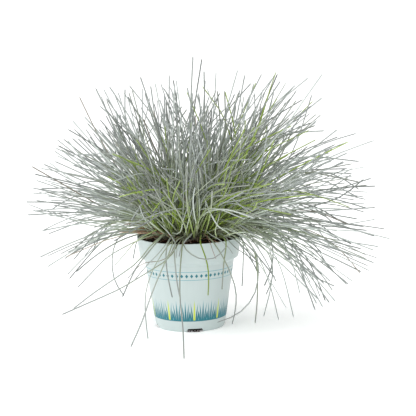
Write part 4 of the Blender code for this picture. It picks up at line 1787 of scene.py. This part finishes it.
    def companions_of(self, line: np.ndarray) -> int:
        """How many thinner leaves grow beside a CAD leaf.

        Args:
            line: the CAD leaf's places.

        Returns:
            0 for a leaf that hangs down, the more the further a leaf rises, and fewer at the front edge.
        """
        low, leaning, upright = self.companions
        if self.hangs(line):
            return 0
        extra = sum(thicket.extra for thicket in THICKETS if thicket.holds(VIEW.pixels(line[-1])))
        if line[-1][2] < POT.height:
            return low + extra
        count = upright if unit(line[-1] - self.cad.foot)[2] > self.upright_rise else leaning
        return extra + (round(count * self.edge_share) if self.cad.foot[1] < -self.edge_depth else count)

    def fills_gap(self, line: np.ndarray, gaps: Sequence[Gap], draws: random.Random) -> bool:
        """Tells whether a leaf crosses a gap, and isn't one of the few there.

        Args:
            line: the leaf's places.
            gaps: the gaps.
            draws: the tuft's random numbers.

        Returns:
            True if the leaf should be left out.
        """
        start, count = self.out_of_crown
        shown = [VIEW.pixels(place) for place in smooth_line(line, np.linspace(start, 1, count))]
        return any(gap.stops(shown, draws) for gap in gaps)

    def grow_beside(self, line: np.ndarray, draws: random.Random) -> np.ndarray | None:
        """A thinner leaf that grows next to a CAD one.

        Args:
            line: the CAD leaf's places, from the sheath's foot.
            draws: the tuft's random numbers.

        Returns:
            The new leaf's places, or None if no try is clear of the pot and the gaps.
        """
        foot = self.cad.foot
        chord = line[-1] - foot
        along = np.linspace(0, 1, len(line))[:, None]
        for _ in range(self.tries):
            axis = unit(np.cross(chord, any_way(draws, 1.0)))
            spread = self.stray_deg if draws.random() < self.stray_chance else self.near_deg
            angle = math.radians(draws.uniform(self.least_deg, spread))
            turn = np.array(Matrix.Rotation(angle, 3, axis))
            share = 1 - (1 - self.least_share) * draws.random() ** self.length_power
            length = float(np.linalg.norm(chord)) * share
            bend = self.bow * (self.wild if draws.random() < self.wild_chance else 1)
            bow, end = any_way(draws, bend) * length, any_way(draws, bend / self.hook) * length
            shift = any_way(draws, self.shift) * self.sheath_radius
            shift[2] = 0
            made = foot + shift + (line - foot) @ turn.T * share
            made = self.envelope.fit(made + bow * (along**2 - self.bow_back * along) + end * along**4, foot)
            ends_low = made[-1][1] < 0 and CORE.holds(VIEW.pixels(made[-1]))
            if self.clears(made, self.over_rim) and not ends_low and not self.fills_gap(made, GAPS, draws):
                return None if self.fills_gap(made, THINNED, draws) else made
        return None

    def grow_young(self, draws: random.Random) -> np.ndarray:
        """A short leaf inside the tuft, bent any way, so that it crosses others."""
        foot = self.cad.foot
        axis = unit(np.mean([line[0] for line in self.cad.lines], axis=0) - foot)
        length = draws.uniform(*self.young_length)
        heading = unit(axis + any_way(draws, self.young_spread) + UP_AXIS * self.young_rise)
        along = np.linspace(0, 1, self.knots)[:, None]
        size, fall = self.young_droop
        droop = np.array((heading[0], heading[1], fall)) * size + any_way(draws, self.young_bow)
        return foot + heading * length * along + droop * length * along**2

    def grow_thatch(self, draws: random.Random) -> np.ndarray:
        """A short dead leaf that leans out low over the soil."""
        foot = self.cad.foot
        length = draws.uniform(*self.thatch_length)
        turn = draws.gauss(math.atan2(foot[1], foot[0]), self.thatch_turn)
        out = np.array((math.cos(turn), math.sin(turn), 0))
        heading = unit(out + UP_AXIS * draws.uniform(*self.thatch_rise))
        along = np.linspace(0, 1, self.knots)[:, None]
        droop = UP_AXIS * length * self.thatch_droop * along**2
        return foot + UP_AXIS * self.thatch_foot + heading * length * along - droop

    def kind_of(self, line: np.ndarray, draws: random.Random, weights: Sequence[int]) -> LeafKind:
        """Chooses a leaf's kind: as the photograph shows its tip, or else by chance, greener in some parts.

        Args:
            line: the leaf's places.
            draws: the tuft's random numbers.
            weights: how often each kind comes up.

        Returns:
            The leaf's kind.
        """
        shown = VIEW.pixels(line[-1])
        for accent in ACCENTS:
            if (shown - Vector((accent.across, accent.down))).length < ACCENT_REACH:
                return accent.kind
        middle = VIEW.pixels(line[len(line) // 2])
        for patch in GREEN_PATCHES:
            close = (middle - Vector((patch.across, patch.down))).length < patch.reach
            if close and line[-1][1] < self.patch_depth and draws.random() < patch.chance:
                return draws.choice(patch.kinds)
        return draws.choices(tuple(LeafKind), weights)[0]

    def swayed(self, line: np.ndarray, sway: float, draws: random.Random) -> np.ndarray:
        """A CAD leaf with the slight bends of a real one, where they keep it clear of the pot.

        Args:
            line: the leaf's places.
            sway: how far it is bent, as a share of its length.
            draws: the tuft's random numbers.

        Returns:
            The bent leaf's places.
        """
        along = np.linspace(0, 1, len(line))[:, None]
        length = float(np.linalg.norm(line[-1] - line[0]))
        once, twice = any_way(draws, sway) * length, any_way(draws, sway / 2) * length
        made = line + once * np.sin(math.pi * along) + twice * np.sin(math.tau * along)
        return made if self.clears(made) else line

    def add_long(self, mesh: LeafMesh, draws: random.Random) -> None:
        """The CAD leaves, each with its companions.

        Args:
            mesh: what takes them in.
            draws: the tuft's random numbers.
        """
        foot = self.cad.foot
        for line in self.cad.lines:
            hangs = self.hangs(line)
            whole = np.concatenate([[foot + (line[0] - foot) * self.foot_share], line])
            whole = self.swayed(whole, self.hanging_sway if hangs else self.sway, draws)
            kind = self.kind_of(line, draws, self.hanging_weights if hangs else self.long_weights)
            # Hanging leaves take a low tone: painted shade of the side that they show.
            if hangs:
                mesh.add_leaf(whole, self.hanging_radius, kind, draws, self.hanging_shade_tone)
            else:
                mesh.add_leaf(whole, self.cad_leaf_radius, kind, draws)
            for _ in range(self.companions_of(line)):
                made = self.grow_beside(whole, draws)
                if made is not None:
                    radius = self.leaf_radius * draws.uniform(*self.leaf_widths)
                    mesh.add_leaf(made, radius, self.kind_of(made, draws, self.long_weights), draws)

    def add_front(self, mesh: LeafMesh, draws: random.Random) -> None:
        """The leaves that the photograph shows one by one.

        Args:
            mesh: what takes them in.
            draws: the tuft's random numbers.
        """
        for leaf in self.front:
            made = np.concatenate([[self.cad.foot], leaf.places()])
            if self.clears(made):
                mesh.add_leaf(made, leaf.radius * MM, leaf.kind, draws, leaf.tone)
            else:
                LOG.warning("a front leaf of %s meets the pot: %s", self.cad.name, leaf)

    def add_short(self, mesh: LeafMesh, draws: random.Random) -> None:
        """The young leaves and the thatch.

        Args:
            mesh: what takes them in.
            draws: the tuft's random numbers.
        """
        for _ in range(self.young):
            made = self.grow_young(draws)
            if self.clears(made, self.over_rim) and not self.fills_gap(made, GAPS + THINNED, draws):
                mesh.add_leaf(made, self.young_radius, self.kind_of(made, draws, self.young_weights), draws)
        for _ in range(self.thatch):
            made = self.grow_thatch(draws)
            if self.clears(made):
                kind = draws.choices((DRY, STRAW), self.thatch_weights)[0]
                mesh.add_leaf(made, self.thatch_radius, kind, draws)

    def build(self) -> bpy.types.Object:
        """Makes the tuft's needles in place of its CAD node."""
        draws, mesh = random.Random(self.cad.name), LeafMesh()
        for add_some in (self.add_long, self.add_front, self.add_short):
            add_some(mesh, draws)
        piece = mesh.build(f"needles_{self.cad.name[-2:]}", self.finish)
        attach(piece, "root")
        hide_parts(self.cad.name)
        piece["leaves"] = mesh.leaves
        return piece


@dataclass
class FescueClump:
    """All the tufts, each built in place of its CAD node."""

    finish: WaxyFescueLeaf = WaxyFescueLeaf()
    front: tuple[FrontLeaf, ...] = FRONT_LEAVES

    def build(self) -> list[bpy.types.Object]:
        """Makes the tufts' pieces."""
        tufts = [CadTuft.read(name) for name in sorted(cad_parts) if name.startswith("tuft_")]
        middle = np.mean([tuft.foot for tuft in tufts], axis=0)
        tips = np.array([line[-1] for tuft in tufts for line in tuft.lines])
        envelope, material = Envelope(middle, tips), self.finish.make()
        grown = {tuft.name: FescueTuft(tuft, envelope, material) for tuft in tufts}
        for leaf in self.front:
            foot = [value * MM for value in leaf.foot]
            nearest = min(tufts, key=lambda tuft: math.dist(tuft.foot[:2], foot))
            grown[nearest.name].front.append(leaf)
        return [tuft.build() for tuft in grown.values()]


# The studio


@dataclass(frozen=True)
class SoftLight:
    """A large square white light.

    Attributes:
        name: what it is called.
        place: where its middle is.
        size: the length of its sides.
        power: in watts.
    """

    name: str
    place: tuple[float, float, float]
    size: float
    power: float

    def build(self) -> None:
        """Adds the light, aimed at the plant's middle."""
        data = bpy.data.lights.new(self.name, "AREA")
        data.shape, data.size, data.energy = "SQUARE", self.size, self.power
        light = in_scene(self.name, data)
        light.location = self.place
        light.rotation_euler = (Vector(VIEW.aim) - Vector(self.place)).to_track_quat("-Z", "Y").to_euler()


@dataclass
class Studio:
    """A plain pale floor that runs out of sight, faintly lit, a white surround and large soft lights.

    Attributes:
        floor_half: half the length of the floor's sides.
        floor_colour: its paint.
        floor_roughness: how matt it is.
        floor_glow: how strongly it is lit from below.
        mottle: how many patches of its mottling there are in a metre.
        mottle_shades: their darkest and lightest shade.
        bright_side: which way the surround is brightest.
        surround: how bright it is on the far side and there.
        lights: the lights.
    """

    floor_half: float = 60.0
    floor_colour: str = "#F7F8F8"
    floor_roughness: float = 0.9
    floor_glow: float = 0.2
    mottle: float = 1.5
    mottle_shades: tuple[float, float] = (0.985, 1.0)
    bright_side: tuple[float, float, float] = (-0.65, -0.3, 0.7)
    surround: tuple[float, float] = (0.2, 1.52)
    lights: tuple[SoftLight, ...] = (
        SoftLight("key_light", (-1.0, -1.1, 1.6), 0.8, 10.0),
        SoftLight("top_light", (0.3, 0.5, 1.9), 1.0, 5.0),
    )

    def make_floor(self) -> None:
        """The floor: matt painted board, whose faint mottling keeps it from looking empty."""
        material, tree, shader = new_material("matt_painted_board")
        place = add(tree, "TexCoord", out="Object")
        mottle = add(tree, "TexNoise", {"Vector": place, "Scale": self.mottle, "Detail": 3.0})
        low, high = self.mottle_shades
        shade = add(tree, "MapRange", {"Value": mottle, "To Min": low, "To Max": high})
        paint = {0: linear(self.floor_colour)[:3], "Scale": shade}
        feed(shader, {
            "Base Color": add(tree, "VectorMath", paint, operation="SCALE"),
            "Roughness": self.floor_roughness,
            "Emission Color": WHITE,
            "Emission Strength": self.floor_glow,
        })
        half = self.floor_half
        corners = ((-half, -half, 0), (half, -half, 0), (half, half, 0), (-half, half, 0))
        floor = mesh_object("floor", corners, ((0, 1, 2, 3),), material)

    def make_surround(self) -> None:
        """The white world around the set, brightest above its front left."""
        world = bpy.data.worlds.new("white_surround")
        world.use_nodes = True
        tree = world.node_tree
        way = add(tree, "TexCoord", out="Generated")
        bright = Vector(self.bright_side).normalized()
        facing = add(tree, "VectorMath", (way, bright), "Value", operation="DOT_PRODUCT")
        low, high = self.surround
        strength = add(tree, "MapRange", {"Value": facing, "From Min": -1.0, "To Min": low, "To Max": high})
        feed(tree.nodes["Background"], {"Color": WHITE, "Strength": strength})
        bpy.context.scene.world = world

    def build(self) -> None:
        """Sets up the floor, the surround, the lights and the camera."""
        self.make_floor()
        self.make_surround()
        for light in self.lights:
            light.build()
        VIEW.make_camera()
        bpy.context.scene.view_settings.view_transform = "Standard"


def main() -> None:
    """Builds the studio and every piece, and reports them."""
    Studio().build()
    pieces = [POT.build(), SOIL.build(), *FescueClump().build()]
    for piece in pieces:
        LOG.info("%s: %d faces", piece.name, len(piece.data.polygons))
    LOG.info("%d leaves in all", sum(piece.get("leaves", 0) for piece in pieces))


if __name__ == "__main__":
    logging.basicConfig(level=logging.INFO, format="%(name)s: %(message)s")
    main()
